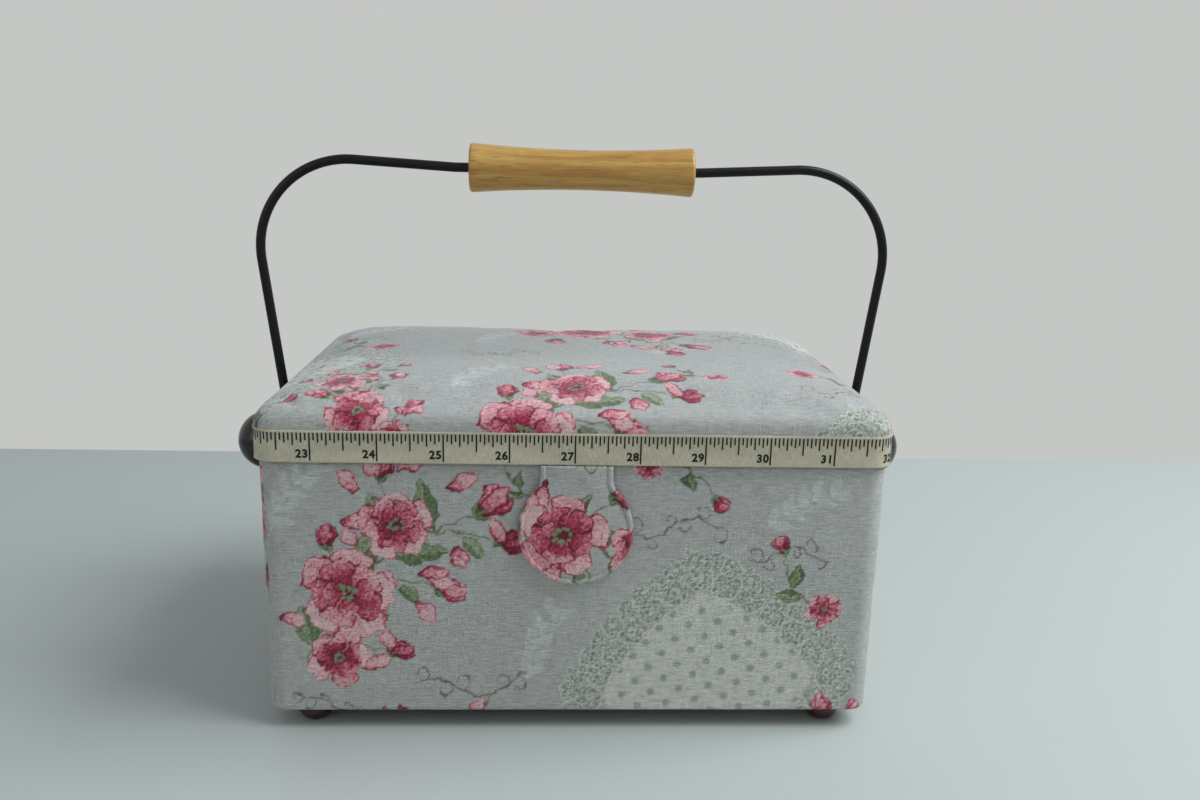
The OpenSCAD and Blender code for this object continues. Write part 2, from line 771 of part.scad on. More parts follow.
module tab_stiffener() {
  color("#b08a5c")
    difference() {
      intersection() {
        tab_plate(2 * piping_r + tab_cloth_t, tab_back_y - tab_cloth_t, tab_board_t);
        translate([-body_w / 2, -body_d, 0]) cube([body_w, body_d, tab_top_z - tab_cloth_t]);
      }
      translate([0, tab_back_y - tab_cloth_t + cut, tab_centre_z])
        rotate([90, 0, 0]) cylinder(h = tab_board_t + 2 * cut, d = magnet_d + 2 * screw_clear);
    }
}

module tab_magnet() {
  color("silver") translate([0, tab_back_y - tab_cloth_t, tab_centre_z])
    rotate([90, 0, 0]) cylinder(h = tab_board_t, d = magnet_d);
}

module tab_cloth() {
  color("#c05568")
    difference() {
      tab_plate(2 * piping_r, tab_back_y, tab_thick);
      intersection() {
        tab_plate(2 * piping_r + tab_cloth_t, tab_back_y - tab_cloth_t, tab_board_t);
        translate([-body_w / 2, -body_d, 0]) cube([body_w, body_d, tab_top_z - tab_cloth_t]);
      }
    }
}

module tab_piping() {
  c = tab_join();
  a = atan2(c[1], c[0]);
  lap_turn = joint_lap / 2 / tab_r * 180 / PI;
  color("#dedcd2") translate([0, piping_y, tab_centre_z]) rotate([90, 0, 0]) {
    rotate([0, 0, 180 - a - lap_turn]) rotate_extrude(angle = 180 + 2 * (a + lap_turn))
      translate([tab_r - piping_r, 0]) circle(r = piping_r, $fn = 24);
    for (side = [0, 1]) mirror([side, 0, 0]) {
      translate([c[0], c[1], 0]) rotate([0, 0, 180]) rotate_extrude(angle = a)
        translate([tab_fillet_r + piping_r, 0]) circle(r = piping_r - bend_slim, $fn = 24);
      translate([tab_neck_w / 2 - piping_r, c[1] - joint_lap / 2, 0]) rotate([-90, 0, 0])
        cylinder(h = tab_top_z - tab_centre_z - c[1] + joint_lap / 2, r = piping_r, $fn = 24);
    }
  }
}

module wire_rod(x, z, lean, l) {
  translate([x, 0, z]) rotate([0, lean, 0]) cylinder(h = l, r = wire_r);
}

// One stretch of bent wire about a point, turning from one angle to another
module wire_bend(x, z, r, from, turn) {
  translate([x, 0, z]) rotate([90, 0, 0]) rotate([0, 0, from])
    rotate_extrude(angle = turn) translate([r, 0]) circle(r = wire_r - bend_slim, $fn = 32);
}

module handle_wire() {
  color("#0f0f0f")
    difference() {
      union() {
        translate([-kink_x - joint_lap, 0, grip_z]) along_x()
          cylinder(h = 2 * (kink_x + joint_lap), r = wire_r);
        both_sides() {
          translate([eye_x - eye_t / 2, 0, pivot_z]) along_x() cylinder(h = eye_t, r = eye_r);
          wire_rod(arm_x, arm_z, arm_lean, arm_l + joint_lap);
          wire_bend(bend_x, bend_z, bend_r, -arm_lean, 90 + arm_lean + top_rise);
          wire_bend(kink_x, grip_z + kink_r, kink_r, 270, top_rise);
          translate([kink_x + kink_r * sin(top_rise), 0, grip_z + kink_r * (1 - cos(top_rise))])
            rotate([0, 90 - top_rise, 0]) translate([0, 0, -joint_lap])
              cylinder(h = top_l + 2 * joint_lap, r = wire_r);
        }
      }
      both_sides() translate([eye_x - eye_t / 2 - cut, 0, pivot_z]) along_x()
        cylinder(h = eye_t + 2 * cut, r = eye_bore_r);
    }
}

// Half section of the grip: a bar with rounded ends, hollowed by one long arc
module grip_section() {
  sag = (grip_end_d - grip_waist_d) / 2;
  arc_r = (pow(grip_l / 2, 2) + sag * sag) / (2 * sag);
  bore_r = wire_r + run_clear;
  difference() {
    union() {
      translate([bore_r, -grip_l / 2 + grip_edge_r])
        square([grip_end_d / 2 - bore_r, grip_l - 2 * grip_edge_r]);
      translate([bore_r, -grip_l / 2]) square([grip_end_d / 2 - bore_r - grip_edge_r, grip_l]);
      for (y = [-1, 1])
        translate([grip_end_d / 2 - grip_edge_r, y * (grip_l / 2 - grip_edge_r)]) circle(r = grip_edge_r);
    }
    translate([grip_waist_d / 2 + arc_r, 0]) circle(r = arc_r, $fn = 400);
  }
}

module handle_grip() {
  color("#c9a05f") translate([grip_shift, 0, grip_z]) along_x() rotate_extrude($fn = 96) grip_section();
}

module tray_divider(x, y, w, d) {
  translate([x - w / 2, y, tray_z]) cube([w, d, 2 * tray_h]);
}

// The room in the tray, rounded inside its corners as its wall is outside, less the dividers, which
// leave three cells in front and two behind
module tray_room() {
  difference() {
    translate([0, 0, tray_z + tray_floor])
      rounded_block(tray_inner_w, tray_inner_d, tray_h, tray_corner_r - tray_wall);
    tray_divider(0, tray_split_y - tray_wall / 2, tray_w, tray_wall);
    for (side = [-1, 1])
      tray_divider(side * (tray_third_w + tray_wall) / 2, -tray_d / 2, tray_wall, tray_d / 2 + tray_split_y);
    tray_divider(0, tray_split_y, tray_wall, tray_d / 2);
  }
}

module tray() {
  color("#e8e4da")
    difference() {
      translate([0, 0, tray_z]) rounded_block(tray_w, tray_d, tray_h, tray_corner_r);
      tray_room();
      for (x = [-tray_w / 2 - cut, tray_w / 2 - tray_wall - cut])
        translate([x, notch_y, tray_z + tray_h]) along_x() cylinder(h = tray_wall + 2 * cut, r = notch_r);
    }
}

base_board();
front_panel();
back_panel();
left_panel();
right_panel();
outer_fabric();
base_cloth();
wall_lining();
floor_card();
feet();
foot_screws();
tray_ledges();
keeper_disc();
pivot_spacers();
pivot_bushes();
pivot_knobs();
pivot_screws();
pivot_washers();
hinge_body_leaves();
hinge_pins();
hinge_body_screws();
lid_board();
lid_rim_strips();
lid_wadding();
lid_cover();
lid_edge_cloth();
tape_ribbon();
lid_lining();
pincushion();
hinge_lid_leaves();
hinge_lid_screws();
tab_stiffener();
tab_cloth();
tab_piping();
tab_magnet();
handle_wire();
handle_grip();
tray();
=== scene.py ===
import math

import bmesh
import bpy
import numpy as np
from mathutils import Matrix, Vector


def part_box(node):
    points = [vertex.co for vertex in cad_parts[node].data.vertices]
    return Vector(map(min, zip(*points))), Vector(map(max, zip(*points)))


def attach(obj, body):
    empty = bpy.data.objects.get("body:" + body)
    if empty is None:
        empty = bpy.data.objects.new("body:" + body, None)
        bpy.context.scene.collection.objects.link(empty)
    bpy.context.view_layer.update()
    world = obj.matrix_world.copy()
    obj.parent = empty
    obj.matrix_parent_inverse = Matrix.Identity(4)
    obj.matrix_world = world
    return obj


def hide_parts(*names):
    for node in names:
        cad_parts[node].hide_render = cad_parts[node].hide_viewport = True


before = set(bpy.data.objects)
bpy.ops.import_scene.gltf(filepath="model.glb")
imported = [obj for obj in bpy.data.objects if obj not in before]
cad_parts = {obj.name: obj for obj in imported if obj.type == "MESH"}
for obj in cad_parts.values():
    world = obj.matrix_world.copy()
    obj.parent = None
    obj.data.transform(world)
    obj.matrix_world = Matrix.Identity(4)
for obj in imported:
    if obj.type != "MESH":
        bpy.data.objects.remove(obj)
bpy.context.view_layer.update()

# Lengths here are in millimetres until a mesh is written
MM = 0.001
INCH = 25.4
TAU = 2 * math.pi


def span(node):
    """Lowest and highest corner of a CAD node, in millimetres."""
    low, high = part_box(node)
    return np.array(low) / MM, np.array(high) / MM


# Sizes read from the frame
cloth_low, cloth_high = span("outer_fabric")
lining_low, lining_high = span("wall_lining")
ribbon_low, ribbon_high = span("tape_ribbon")
cover_low, cover_high = span("lid_cover")
piping_low, piping_high = span("tab_piping")
grip_low, grip_high = span("handle_grip")
knob_low, knob_high = span("pivot_knobs")

BODY_W, BODY_D = (cloth_high - cloth_low)[:2]
BODY_R = 8.0
BASE_Z, TOP_Z = cloth_low[2], cloth_high[2]
CLOTH_T = 0.8
RIBBON_W, RIBBON_D = (ribbon_high - ribbon_low)[:2]
RIBBON_R = 10.0
RIBBON_T = 0.5
LID_Z, LID_TOP_Z = ribbon_low[2], ribbon_high[2]
COVER_W, COVER_D = (cover_high - cover_low)[:2]
COVER_R = RIBBON_R - RIBBON_T
CROWN_H = cover_high[2] - LID_TOP_Z

# The tab's outline, as in the solids
TAB_R = 22.8
TAB_FILLET_R = 8.0
TAB_NECK_W = 28.4
PIPING_R = (piping_high - piping_low)[1] / 2
PIPING_Y = (piping_low + piping_high)[1] / 2
TAB_CENTRE_Z = piping_low[2] + TAB_R
TAB_BACK_Y, TAB_TOP_Z = span("tab_cloth")[1][1:]

# The handle, as in the solids
WIRE_R = 2.1
PIVOT_Z = (knob_low + knob_high)[2] / 2
GRIP_Z = (grip_low + grip_high)[2] / 2
GRIP_X = (grip_low + grip_high)[0] / 2
GRIP_L = (grip_high - grip_low)[0]
BEND_R = 40.0
ARM_LEAN = math.radians(7)
TOP_RISE = math.radians(3)
KINK_R = 30.0
WIRE_STRAIGHT = 4.0
EYE_BORE_R = 4.0
EYE_R = 8.4
EYE_T = 3.4
RUN_GAP = 0.3
EYE_EASE = 0.7
EYE_X = span("pivot_spacers")[1][0] + RUN_GAP + EYE_T / 2
FLATTEN_L, FLATTEN_W = 9.0, 2.2
GRIP_END_R, GRIP_WAIST_R = 10.8, 8.7
GRIP_BORE_R = WIRE_R + 0.07
GRIP_EASE = 1.4
KNOB_NECK_R = 5.8
KNOB_NECK_L = 2.5
KNOB_R = 13.5
KNOB_FLAT = 6.4
KNOB_BORE_R = 2.2


# Meshes


def new_object(name, data, material=None):
    """An object in the scene, with its material if it is a mesh."""
    piece = bpy.data.objects.new(name, data)
    bpy.context.scene.collection.objects.link(piece)
    if material is not None:
        data.materials.append(material)
    return piece


def signed_volume(points, quads):
    """Six times the volume inside the quads, negative if they face inwards."""
    a, b, c, d = (points[quads[:, k]] for k in range(4))
    return np.einsum("ij,ij->", a, np.cross(b, c)) + np.einsum("ij,ij->", a, np.cross(c, d))


def write_mesh(name, points, quads, caps=(), uv=None, colour=None, smooth=True):
    """A mesh of quads and a few many-sided caps, with points in millimetres, facing outwards."""
    points = np.asarray(points, float).reshape(-1, 3)
    quads = np.asarray(quads, np.int64)
    caps = [list(c) for c in caps]
    if signed_volume(points, quads) < 0:
        quads = quads[:, ::-1]
        caps = [c[::-1] for c in caps]
    loops = np.concatenate([quads.ravel()] + [np.array(c, np.int64) for c in caps])
    sizes = np.array([4] * len(quads) + [len(c) for c in caps])
    starts = np.concatenate([[0], np.cumsum(sizes)[:-1]])
    mesh = bpy.data.meshes.new(name)
    mesh.vertices.add(len(points))
    mesh.vertices.foreach_set("co", (points * MM).ravel())
    mesh.loops.add(len(loops))
    mesh.loops.foreach_set("vertex_index", loops)
    mesh.polygons.add(len(sizes))
    mesh.polygons.foreach_set("loop_start", starts)
    mesh.polygons.foreach_set("use_smooth", np.full(len(sizes), smooth))
    mesh.update(calc_edges=True)
    if uv is not None:
        layer = mesh.uv_layers.new(name="cloth_mm")
        layer.data.foreach_set("uv", np.asarray(uv, float).reshape(-1, 2)[loops].ravel())
    if colour is not None:
        colour = np.asarray(colour, float).reshape(-1, 3)
        layer = mesh.color_attributes.new("print", "FLOAT_COLOR", "POINT")
        layer.data.foreach_set("color", np.column_stack([colour, np.ones(len(colour))]).ravel())
    mesh.validate()
    return mesh


def grid_quads(rows, columns, wrap_rows=False, wrap_columns=False):
    """Quads over a grid of points numbered row by row."""
    i = np.arange(rows if wrap_rows else rows - 1)
    j = np.arange(columns if wrap_columns else columns - 1)
    i, j = np.meshgrid(i, j, indexing="ij")
    i2, j2 = (i + 1) % rows, (j + 1) % columns
    corners = [i * columns + j, i * columns + j2, i2 * columns + j2, i2 * columns + j]
    return np.stack(corners, axis=-1).reshape(-1, 4)


def border(rows, columns):
    """The numbers of a grid's outermost points, in order round it."""
    number = np.arange(rows * columns).reshape(rows, columns)
    return np.concatenate([number[0, :-1], number[:-1, -1], number[-1, :0:-1], number[:0:-1, 0]])


def end_caps(rows, columns):
    """The first and the last column of a grid that is closed along its columns, as two caps."""
    first = np.arange(rows) * columns
    return [first, (first + columns - 1)[::-1]]


def tube_caps(rings, sides):
    """The first and the last ring of a tube, as two caps."""
    last = (rings - 1) * sides
    return [range(sides)[::-1], range(last, last + sides)]


def run_along(points):
    """Distances along a line of points, from 0 at the first."""
    return np.concatenate([[0], np.cumsum(np.linalg.norm(np.diff(points, axis=0), axis=1))])


def lathe(name, profile, centre, material, sides=64):
    """A piece turned round X. The profile is (distance along X, radius), and is a loop or has closed ends."""
    turn = np.arange(sides) * TAU / sides
    along = np.repeat(profile[:, :1], sides, 1)
    points = np.stack([along, profile[:, 1:] * np.cos(turn), profile[:, 1:] * np.sin(turn)], -1) + centre
    caps = [] if np.allclose(profile[0], profile[-1]) else tube_caps(len(profile), sides)
    mesh = write_mesh(name, points, grid_quads(len(profile), sides, wrap_columns=True), caps)
    tidy(mesh)
    return new_object(name, mesh, material)


def tidy(mesh, distance=1e-6):
    """Merges doubles and turns the faces outwards."""
    edit = bmesh.new()
    edit.from_mesh(mesh)
    bmesh.ops.remove_doubles(edit, verts=edit.verts, dist=distance)
    bmesh.ops.recalc_face_normals(edit, faces=edit.faces)
    edit.to_mesh(mesh)
    edit.free()


def arc(centre, radius, start, end, steps):
    """Points of an arc in its own plane, with angles in radians."""
    turn = np.linspace(start, end, steps)
    return np.column_stack([centre[0] + radius * np.cos(turn), centre[1] + radius * np.sin(turn)])


def flat_tube(path, y, across, thick, sides):
    """A tube along a path of constant Y, with its half widths across the path and along Y."""
    run = np.gradient(path, axis=0)
    run /= np.linalg.norm(run, axis=1)[:, None]
    turn = np.arange(sides) * TAU / sides
    across = np.broadcast_to(across, len(path))[:, None]
    thick = np.broadcast_to(thick, len(path))[:, None]
    x = path[:, :1] - run[:, 1:] * across * np.cos(turn)
    z = path[:, 1:] + run[:, :1] * across * np.cos(turn)
    points = np.stack([x, y + thick * np.sin(turn), z], -1)
    return points, grid_quads(len(path), sides, wrap_columns=True), tube_caps(len(path), sides)


class Outline:
    """A rounded rectangle, run from the middle of the front to the right, the back and the left."""

    def __init__(self, width, depth, radius):
        self.long = width - 2 * radius
        self.short = depth - 2 * radius
        self.radius = radius
        self.corner = radius * math.pi / 2
        self.length = 2 * (self.long + self.short) + 4 * self.corner
        x, y = self.long / 2, self.short / 2
        self.centres = [(x, -y), (x, y), (-x, y), (-x, -y)]

    def at(self, s, out=0.0):
        """Points at distance s along the outline and a distance out of it, with their outward normals."""
        s, out = np.broadcast_arrays(np.asarray(s, float), np.asarray(out, float))
        s = np.mod(s + self.long / 2, self.length)
        reach = np.maximum(self.radius + out, 0.01)
        points, normals = np.zeros(s.shape + (2,)), np.zeros(s.shape + (2,))
        start = 0.0
        for side in range(4):
            straight = self.long if side % 2 == 0 else self.short
            end = start + straight + self.corner
            here = (s >= start) & (s < end + 1e-9)
            before = np.maximum(start + straight - s, 0)
            turn = np.clip((s - start - straight) / self.radius, 0, math.pi / 2) + side * math.pi / 2
            normal = np.stack([np.sin(turn), -np.cos(turn)], -1)
            ahead = np.array([math.cos(side * math.pi / 2), math.sin(side * math.pi / 2)])
            spot = np.array(self.centres[side]) + normal * reach[..., None] - ahead * before[..., None]
            points[here], normals[here] = spot[here], normal[here]
            start = end
        return points, normals


def refine(grid, times):
    """A finer grid through the points of a coarse one, by a smooth curve along both directions."""
    for axis in (0, 1):
        grid = np.moveaxis(grid, axis, 0)
        n = len(grid)
        ends = np.concatenate([2 * grid[:1] - grid[1:2], grid, 2 * grid[-1:] - grid[-2:-1]])
        t = np.linspace(0, n - 1, (n - 1) * times + 1)
        k = np.minimum(t.astype(int), n - 2)
        f = (t - k).reshape((-1,) + (1,) * (grid.ndim - 1))
        p0, p1, p2, p3 = (ends[k + i] for i in range(4))
        grid = p1 + 0.5 * f * (p2 - p0 + f * (2 * p0 - 5 * p1 + 4 * p2 - p3 + f * (3 * (p1 - p2) + p3 - p0)))
        grid = np.moveaxis(grid, 0, axis)
    return grid


def waves(u, v, seed, size, count=24):
    """A smooth random field of about unit height, whose swells are about size wide."""
    draw = np.random.default_rng(seed)
    field = np.zeros(np.broadcast(u, v).shape)
    for _ in range(count):
        way, phase = draw.uniform(0, TAU, 2)
        pace = TAU / size * draw.uniform(0.5, 1.4)
        field += np.sin(pace * (u * math.cos(way) + v * math.sin(way)) + phase)
    return field * math.sqrt(2 / count)


def eased(name, nodes, body, material, slot, bevel, segments):
    """A copy of CAD nodes with merged faces and softened edges, which stands for them."""
    edit = bmesh.new()
    for node in nodes:
        edit.from_mesh(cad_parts[node].data)
    bmesh.ops.remove_doubles(edit, verts=edit.verts, dist=2e-6)
    bmesh.ops.dissolve_limit(edit, angle_limit=math.radians(0.6), verts=edit.verts, edges=edit.edges)
    bmesh.ops.recalc_face_normals(edit, faces=edit.faces)
    mesh = bpy.data.meshes.new(name)
    edit.to_mesh(mesh)
    edit.free()
    mesh.polygons.foreach_set("use_smooth", np.ones(len(mesh.polygons), bool))
    piece = new_object(name, mesh, material)
    soft = piece.modifiers.new("ease", "BEVEL")
    soft.width = bevel * MM
    soft.segments = segments
    soft.limit_method = "ANGLE"
    soft.angle_limit = math.radians(35)
    level = piece.modifiers.new("level", "WEIGHTED_NORMAL")
    level.weight = 100
    apply_modifiers(piece)
    return place(piece, body, slot, *nodes)


def evaluated_mesh(piece):
    """A new plain mesh of the piece's evaluated shape."""
    graph = bpy.context.evaluated_depsgraph_get()
    return bpy.data.meshes.new_from_object(piece.evaluated_get(graph), depsgraph=graph)


def apply_modifiers(piece):
    """Turns the evaluated shape into the piece's plain mesh."""
    mesh = evaluated_mesh(piece)
    piece.modifiers.clear()
    piece.data = mesh


def place(piece, body, slot, *nodes):
    """Rides the piece on its body and hides the nodes that it stands for. Its slot is not used."""
    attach(piece, body)
    if nodes:
        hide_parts(*nodes)
    return piece


# Materials


# Screen colours of the print, each scale from dark to pale
GROUND = (180, 179, 173)
PETAL_SCALE = [(104, 14, 40), (158, 32, 64), (188, 64, 90), (212, 122, 136), (226, 166, 168), (230, 190, 188)]
LEAF_SCALE = [(70, 86, 54), (98, 116, 76), (128, 142, 104), (160, 168, 140)]
STEM = (104, 100, 72)
INK = (84, 80, 54)
GHOST = (204, 205, 198)
PATCH = (208, 206, 194)
PATCH_LINE = (190, 188, 176)
PATCH_DOT = (158, 166, 158)
LACE_PALE = (210, 210, 200)
LACE_DARK = (126, 132, 112)


def linear(screen):
    """Linear colours from ones given in 0 to 255 screen values."""
    values = np.asarray(screen, float) / 255
    return np.where(values < 0.04045, values / 12.92, ((values + 0.055) / 1.055) ** 2.4)


def add(tree, kind, inputs=None, out=0, **properties):
    """One output of a new node. Each input is a value or an output to link, and is named or numbered."""
    node = tree.nodes.new(kind if kind.startswith("Geometry") else "ShaderNode" + kind)
    for name, value in properties.items():
        setattr(node, name, value)
    for socket, value in (inputs or {}).items():
        if isinstance(value, bpy.types.NodeSocket):
            tree.links.new(value, node.inputs[socket])
        else:
            node.inputs[socket].default_value = value
    return node.outputs[out]


def math_of(tree, operation, *values):
    """The result of a Math node."""
    return add(tree, "Math", dict(enumerate(values)), operation=operation)


class Finish:
    """A material with one Principled shader, whose colour, roughness and bump vary by fields from 0 to 1."""

    def __init__(self, name, rgb, roughness, metallic=0.0, cloth=False, **sockets):
        self.material = bpy.data.materials.new(name)
        self.material.use_nodes = True
        self.tree = self.material.node_tree
        self.surface = self.tree.nodes["Principled BSDF"].inputs
        self.rgb, self.roughness = linear(rgb), roughness
        self.surface["Base Color"].default_value = (*self.rgb, 1)
        self.surface["Roughness"].default_value = roughness
        self.surface["Metallic"].default_value = metallic
        for socket, value in sockets.items():
            self.surface[socket.replace("_", " ")].default_value = value
        # Millimetres, either along the cloth from the piece's own map, or on the piece
        if cloth:
            self.place = add(self.tree, "UVMap", uv_map="cloth_mm")
        else:
            metres = add(self.tree, "TexCoord", out="Object")
            self.place = add(self.tree, "VectorMath", {0: metres, "Scale": 1 / MM}, operation="SCALE")

    def noise(self, scale, detail=2.0, roughness=0.5, distortion=0.0):
        """Noise. The scale gives how many swells there are to a millimetre along each axis."""
        spread = add(self.tree, "Mapping", {"Vector": self.place, "Scale": scale})
        return add(self.tree, "TexNoise", {"Vector": spread, "Scale": 1.0, "Detail": detail,
                                           "Roughness": roughness, "Distortion": distortion})

    def even(self, size, detail=2.0, roughness=0.5, distortion=0.0):
        """Noise with the same scale along each axis."""
        return self.noise((size, size, size), detail, roughness, distortion)

    def threads(self, pitch):
        """Height of a plain weave with uneven threads."""
        loose = self.even(0.35, 1.0)
        axes = self.tree.nodes.new("ShaderNodeSeparateXYZ")
        self.tree.links.new(self.place, axes.inputs[0])
        waves_ = []
        for axis in axes.outputs[:2]:
            steady = math_of(self.tree, "MULTIPLY", axis, TAU / pitch)
            waves_.append(math_of(self.tree, "SINE", math_of(self.tree, "MULTIPLY_ADD", loose, 1.6, steady)))
        crossed = math_of(self.tree, "MULTIPLY", *waves_)
        return math_of(self.tree, "MULTIPLY_ADD", crossed, 0.5, 0.5)

    def sum(self, start, *terms):
        """A start value plus each field less a half, times its weight."""
        total = start
        for field, weight in terms:
            swing = math_of(self.tree, "SUBTRACT", field, 0.5)
            total = math_of(self.tree, "MULTIPLY_ADD", swing, weight, total)
        return total

    def ramp(self, field, *stops):
        """Colours along a field. Each stop is a place and a screen colour."""
        node = self.tree.nodes.new("ShaderNodeValToRGB")
        self.tree.links.new(field, node.inputs[0])
        bands = node.color_ramp.elements
        while len(bands) < len(stops):
            bands.new(0.5)
        for band, (at, rgb) in zip(bands, stops):
            band.position = at
            band.color = (*linear(rgb), 1)
        return node.outputs[0]

    def tint(self, *terms, colour=None):
        """Brightens and darkens the colour by weighted fields."""
        colour = self.rgb if colour is None else colour
        tinted = add(self.tree, "VectorMath", {0: colour, "Scale": self.sum(1.0, *terms)}, operation="SCALE")
        self.tree.links.new(tinted, self.surface["Base Color"])

    def dull(self, *terms):
        """Varies the roughness by weighted fields."""
        self.tree.links.new(self.sum(self.roughness, *terms), self.surface["Roughness"])

    def bump(self, depth, strength, *terms):
        """Bump from weighted fields, whose height of 1 stands for a depth in millimetres."""
        raised = add(self.tree, "Bump", {"Height": self.sum(0.5, *terms), "Distance": depth * MM,
                                         "Strength": strength})
        self.tree.links.new(raised, self.surface["Normal"])


def linen(name):
    """Slubby linen that shows the print: loose threads both ways, thick and thin, with a faint sheen."""
    cloth = Finish(name, GROUND, 0.88, cloth=True, Sheen_Weight=0.32, Sheen_Roughness=0.45)
    weft = cloth.noise((0.16, 1.5, 1), 3.0, 0.62)
    slub = cloth.noise((0.45, 2.6, 1), 2.0, 0.6)
    warp = cloth.noise((1.9, 0.16, 1), 3.0, 0.6)
    speck = cloth.noise((1.6, 2.2, 1), 2.0, 0.7)
    stain = cloth.noise((0.012, 0.012, 1))
    weave = cloth.threads(1.1)
    cloth.tint((weft, 1.1), (slub, 0.95), (warp, 0.75), (speck, 1.1), (stain, 0.16), (weave, 0.42),
               colour=add(cloth.tree, "Attribute", attribute_name="print"))
    cloth.bump(0.34, 0.8, (weave, 0.6), (slub, 1.1), (speck, 0.9))
    return cloth.material


def tape_cloth(name, rgb):
    """Woven tape with fine upright ribs and worn, uneven colour."""
    tape = Finish(name, rgb, 0.8, cloth=True)
    ribs = tape.noise((1.9, 0.35, 1), 3.0, 0.65)
    speck = tape.noise((1.4, 1.6, 1), 2.0, 0.7)
    wear = tape.noise((0.03, 0.12, 1))
    weave = tape.threads(0.9)
    tape.tint((ribs, 0.9), (speck, 0.9), (wear, 0.5), (weave, 0.2))
    tape.bump(0.2, 0.6, (ribs, 0.7), (weave, 0.5))
    return tape.material


def satin(name, rgb, roughness=0.34):
    """Fine satin with a soft uneven sheen."""
    cloth = Finish(name, rgb, roughness, Sheen_Weight=0.35, Sheen_Roughness=0.35, Specular_IOR_Level=0.6)
    fine = cloth.noise((3.5, 3.5, 0.5), 2.0, 0.6)
    soft = cloth.even(0.05, 3.0, 0.6)
    cloth.tint((fine, 0.10), (soft, 0.16))
    cloth.dull((soft, 0.2))
    cloth.bump(0.12, 0.5, (fine, 0.6), (soft, 1.0))
    return cloth.material


def turned_wood(name):
    """Pale lacquered wood with grain along X, darker flecks and faint turning marks."""
    wood = Finish(name, (190, 144, 80), 0.42, Coat_Weight=0.45, Coat_Roughness=0.3)
    grain = wood.noise((0.012, 0.22, 0.22), 4.0, 0.6, 0.6)
    fibre = wood.noise((0.05, 1.7, 1.7), 3.0, 0.6)
    fleck = wood.noise((0.10, 1.3, 1.3), 1.0, 0.4)
    turned = wood.noise((2.2, 0.01, 0.01), 2.0, 0.6)
    figure = wood.sum(0.5, (grain, 1.5), (fibre, 0.8))
    colour = wood.ramp(figure, (0.0, (144, 88, 32)), (0.35, (180, 130, 52)), (0.65, (196, 154, 72)),
                       (1.0, (210, 178, 102)))
    marks = math_of(wood.tree, "MULTIPLY", math_of(wood.tree, "SUBTRACT", fleck, 0.62), 9.0)
    marks = math_of(wood.tree, "MINIMUM", math_of(wood.tree, "MAXIMUM", marks, 0.0), 1.0)
    share = math_of(wood.tree, "MULTIPLY", marks, 0.7)
    mixed = add(wood.tree, "Mix", {0: share, 6: colour, 7: (*linear((138, 76, 30)), 1)}, 2, data_type="RGBA")
    wood.tree.links.new(mixed, wood.surface["Base Color"])
    wood.bump(0.10, 0.4, (fibre, 0.8), (turned, 0.5), (marks, -0.5))
    return wood.material


def pressed_board(name):
    """Raw fibreboard: short pressed fibres in several browns."""
    board = Finish(name, (160, 122, 82), 0.85)
    fibre = board.even(0.9, 5.0, 0.7, 1.5)
    browns = board.ramp(fibre, (0.3, (112, 80, 50)), (0.5, (156, 118, 78)), (0.7, (190, 154, 110)))
    board.tint((board.even(0.04), 0.3), colour=browns)
    board.bump(0.15, 0.6, (fibre, 1.0))
    return board.material


def moulding(name, rgb, roughness, grain=0.06, mottle=0.25, **sockets):
    """Moulded plastic or enamel with faint marks that break up its gloss."""
    skin = Finish(name, rgb, roughness, **sockets)
    fine = skin.even(1.6, 3.0, 0.6)
    cloud = skin.even(0.09, 3.0, 0.6)
    scuff = skin.noise((0.25, 1.2, 0.25), 4.0, 0.75, 1.0)
    skin.tint((cloud, mottle), (fine, mottle / 2))
    skin.dull((cloud, 0.14), (scuff, 0.16))
    skin.bump(grain, 0.4, (fine, 0.6), (cloud, 1.0))
    return skin.material


def plated(name, rgb, roughness):
    """Plated steel with fine brush marks and a few dull spots."""
    metal = Finish(name, rgb, roughness, 1.0)
    brush = metal.noise((0.25, 4.0, 4.0), 3.0, 0.6)
    spots = metal.even(0.3, 4.0, 0.65)
    metal.tint((spots, 0.35), (brush, 0.15))
    metal.dull((spots, 0.3), (brush, 0.2))
    metal.bump(0.03, 0.4, (brush, 1.0))
    return metal.material


def felted(name, rgb):
    """Non-woven cloth with short crossing fibres."""
    felt = Finish(name, rgb, 0.95, Sheen_Weight=0.2)
    fibre = felt.even(1.3, 4.0, 0.7, 2.0)
    felt.tint((fibre, 0.7), (felt.even(0.07), 0.3))
    felt.bump(0.2, 0.7, (fibre, 1.0))
    return felt.material


# Cloth print


def from_scale(scale, tone):
    """Colours along a scale, where tone is from 0 to 1, in a few printed steps with soft edges."""
    steps = len(scale) - 1
    tone = np.clip(tone, 0, 1) * steps
    low = np.floor(tone)
    tone = low + np.clip((tone - low - 0.5) * 2.2 + 0.5, 0, 1)
    return np.stack([np.interp(tone, np.arange(steps + 1), [c[k] for c in scale]) for k in range(3)], -1)


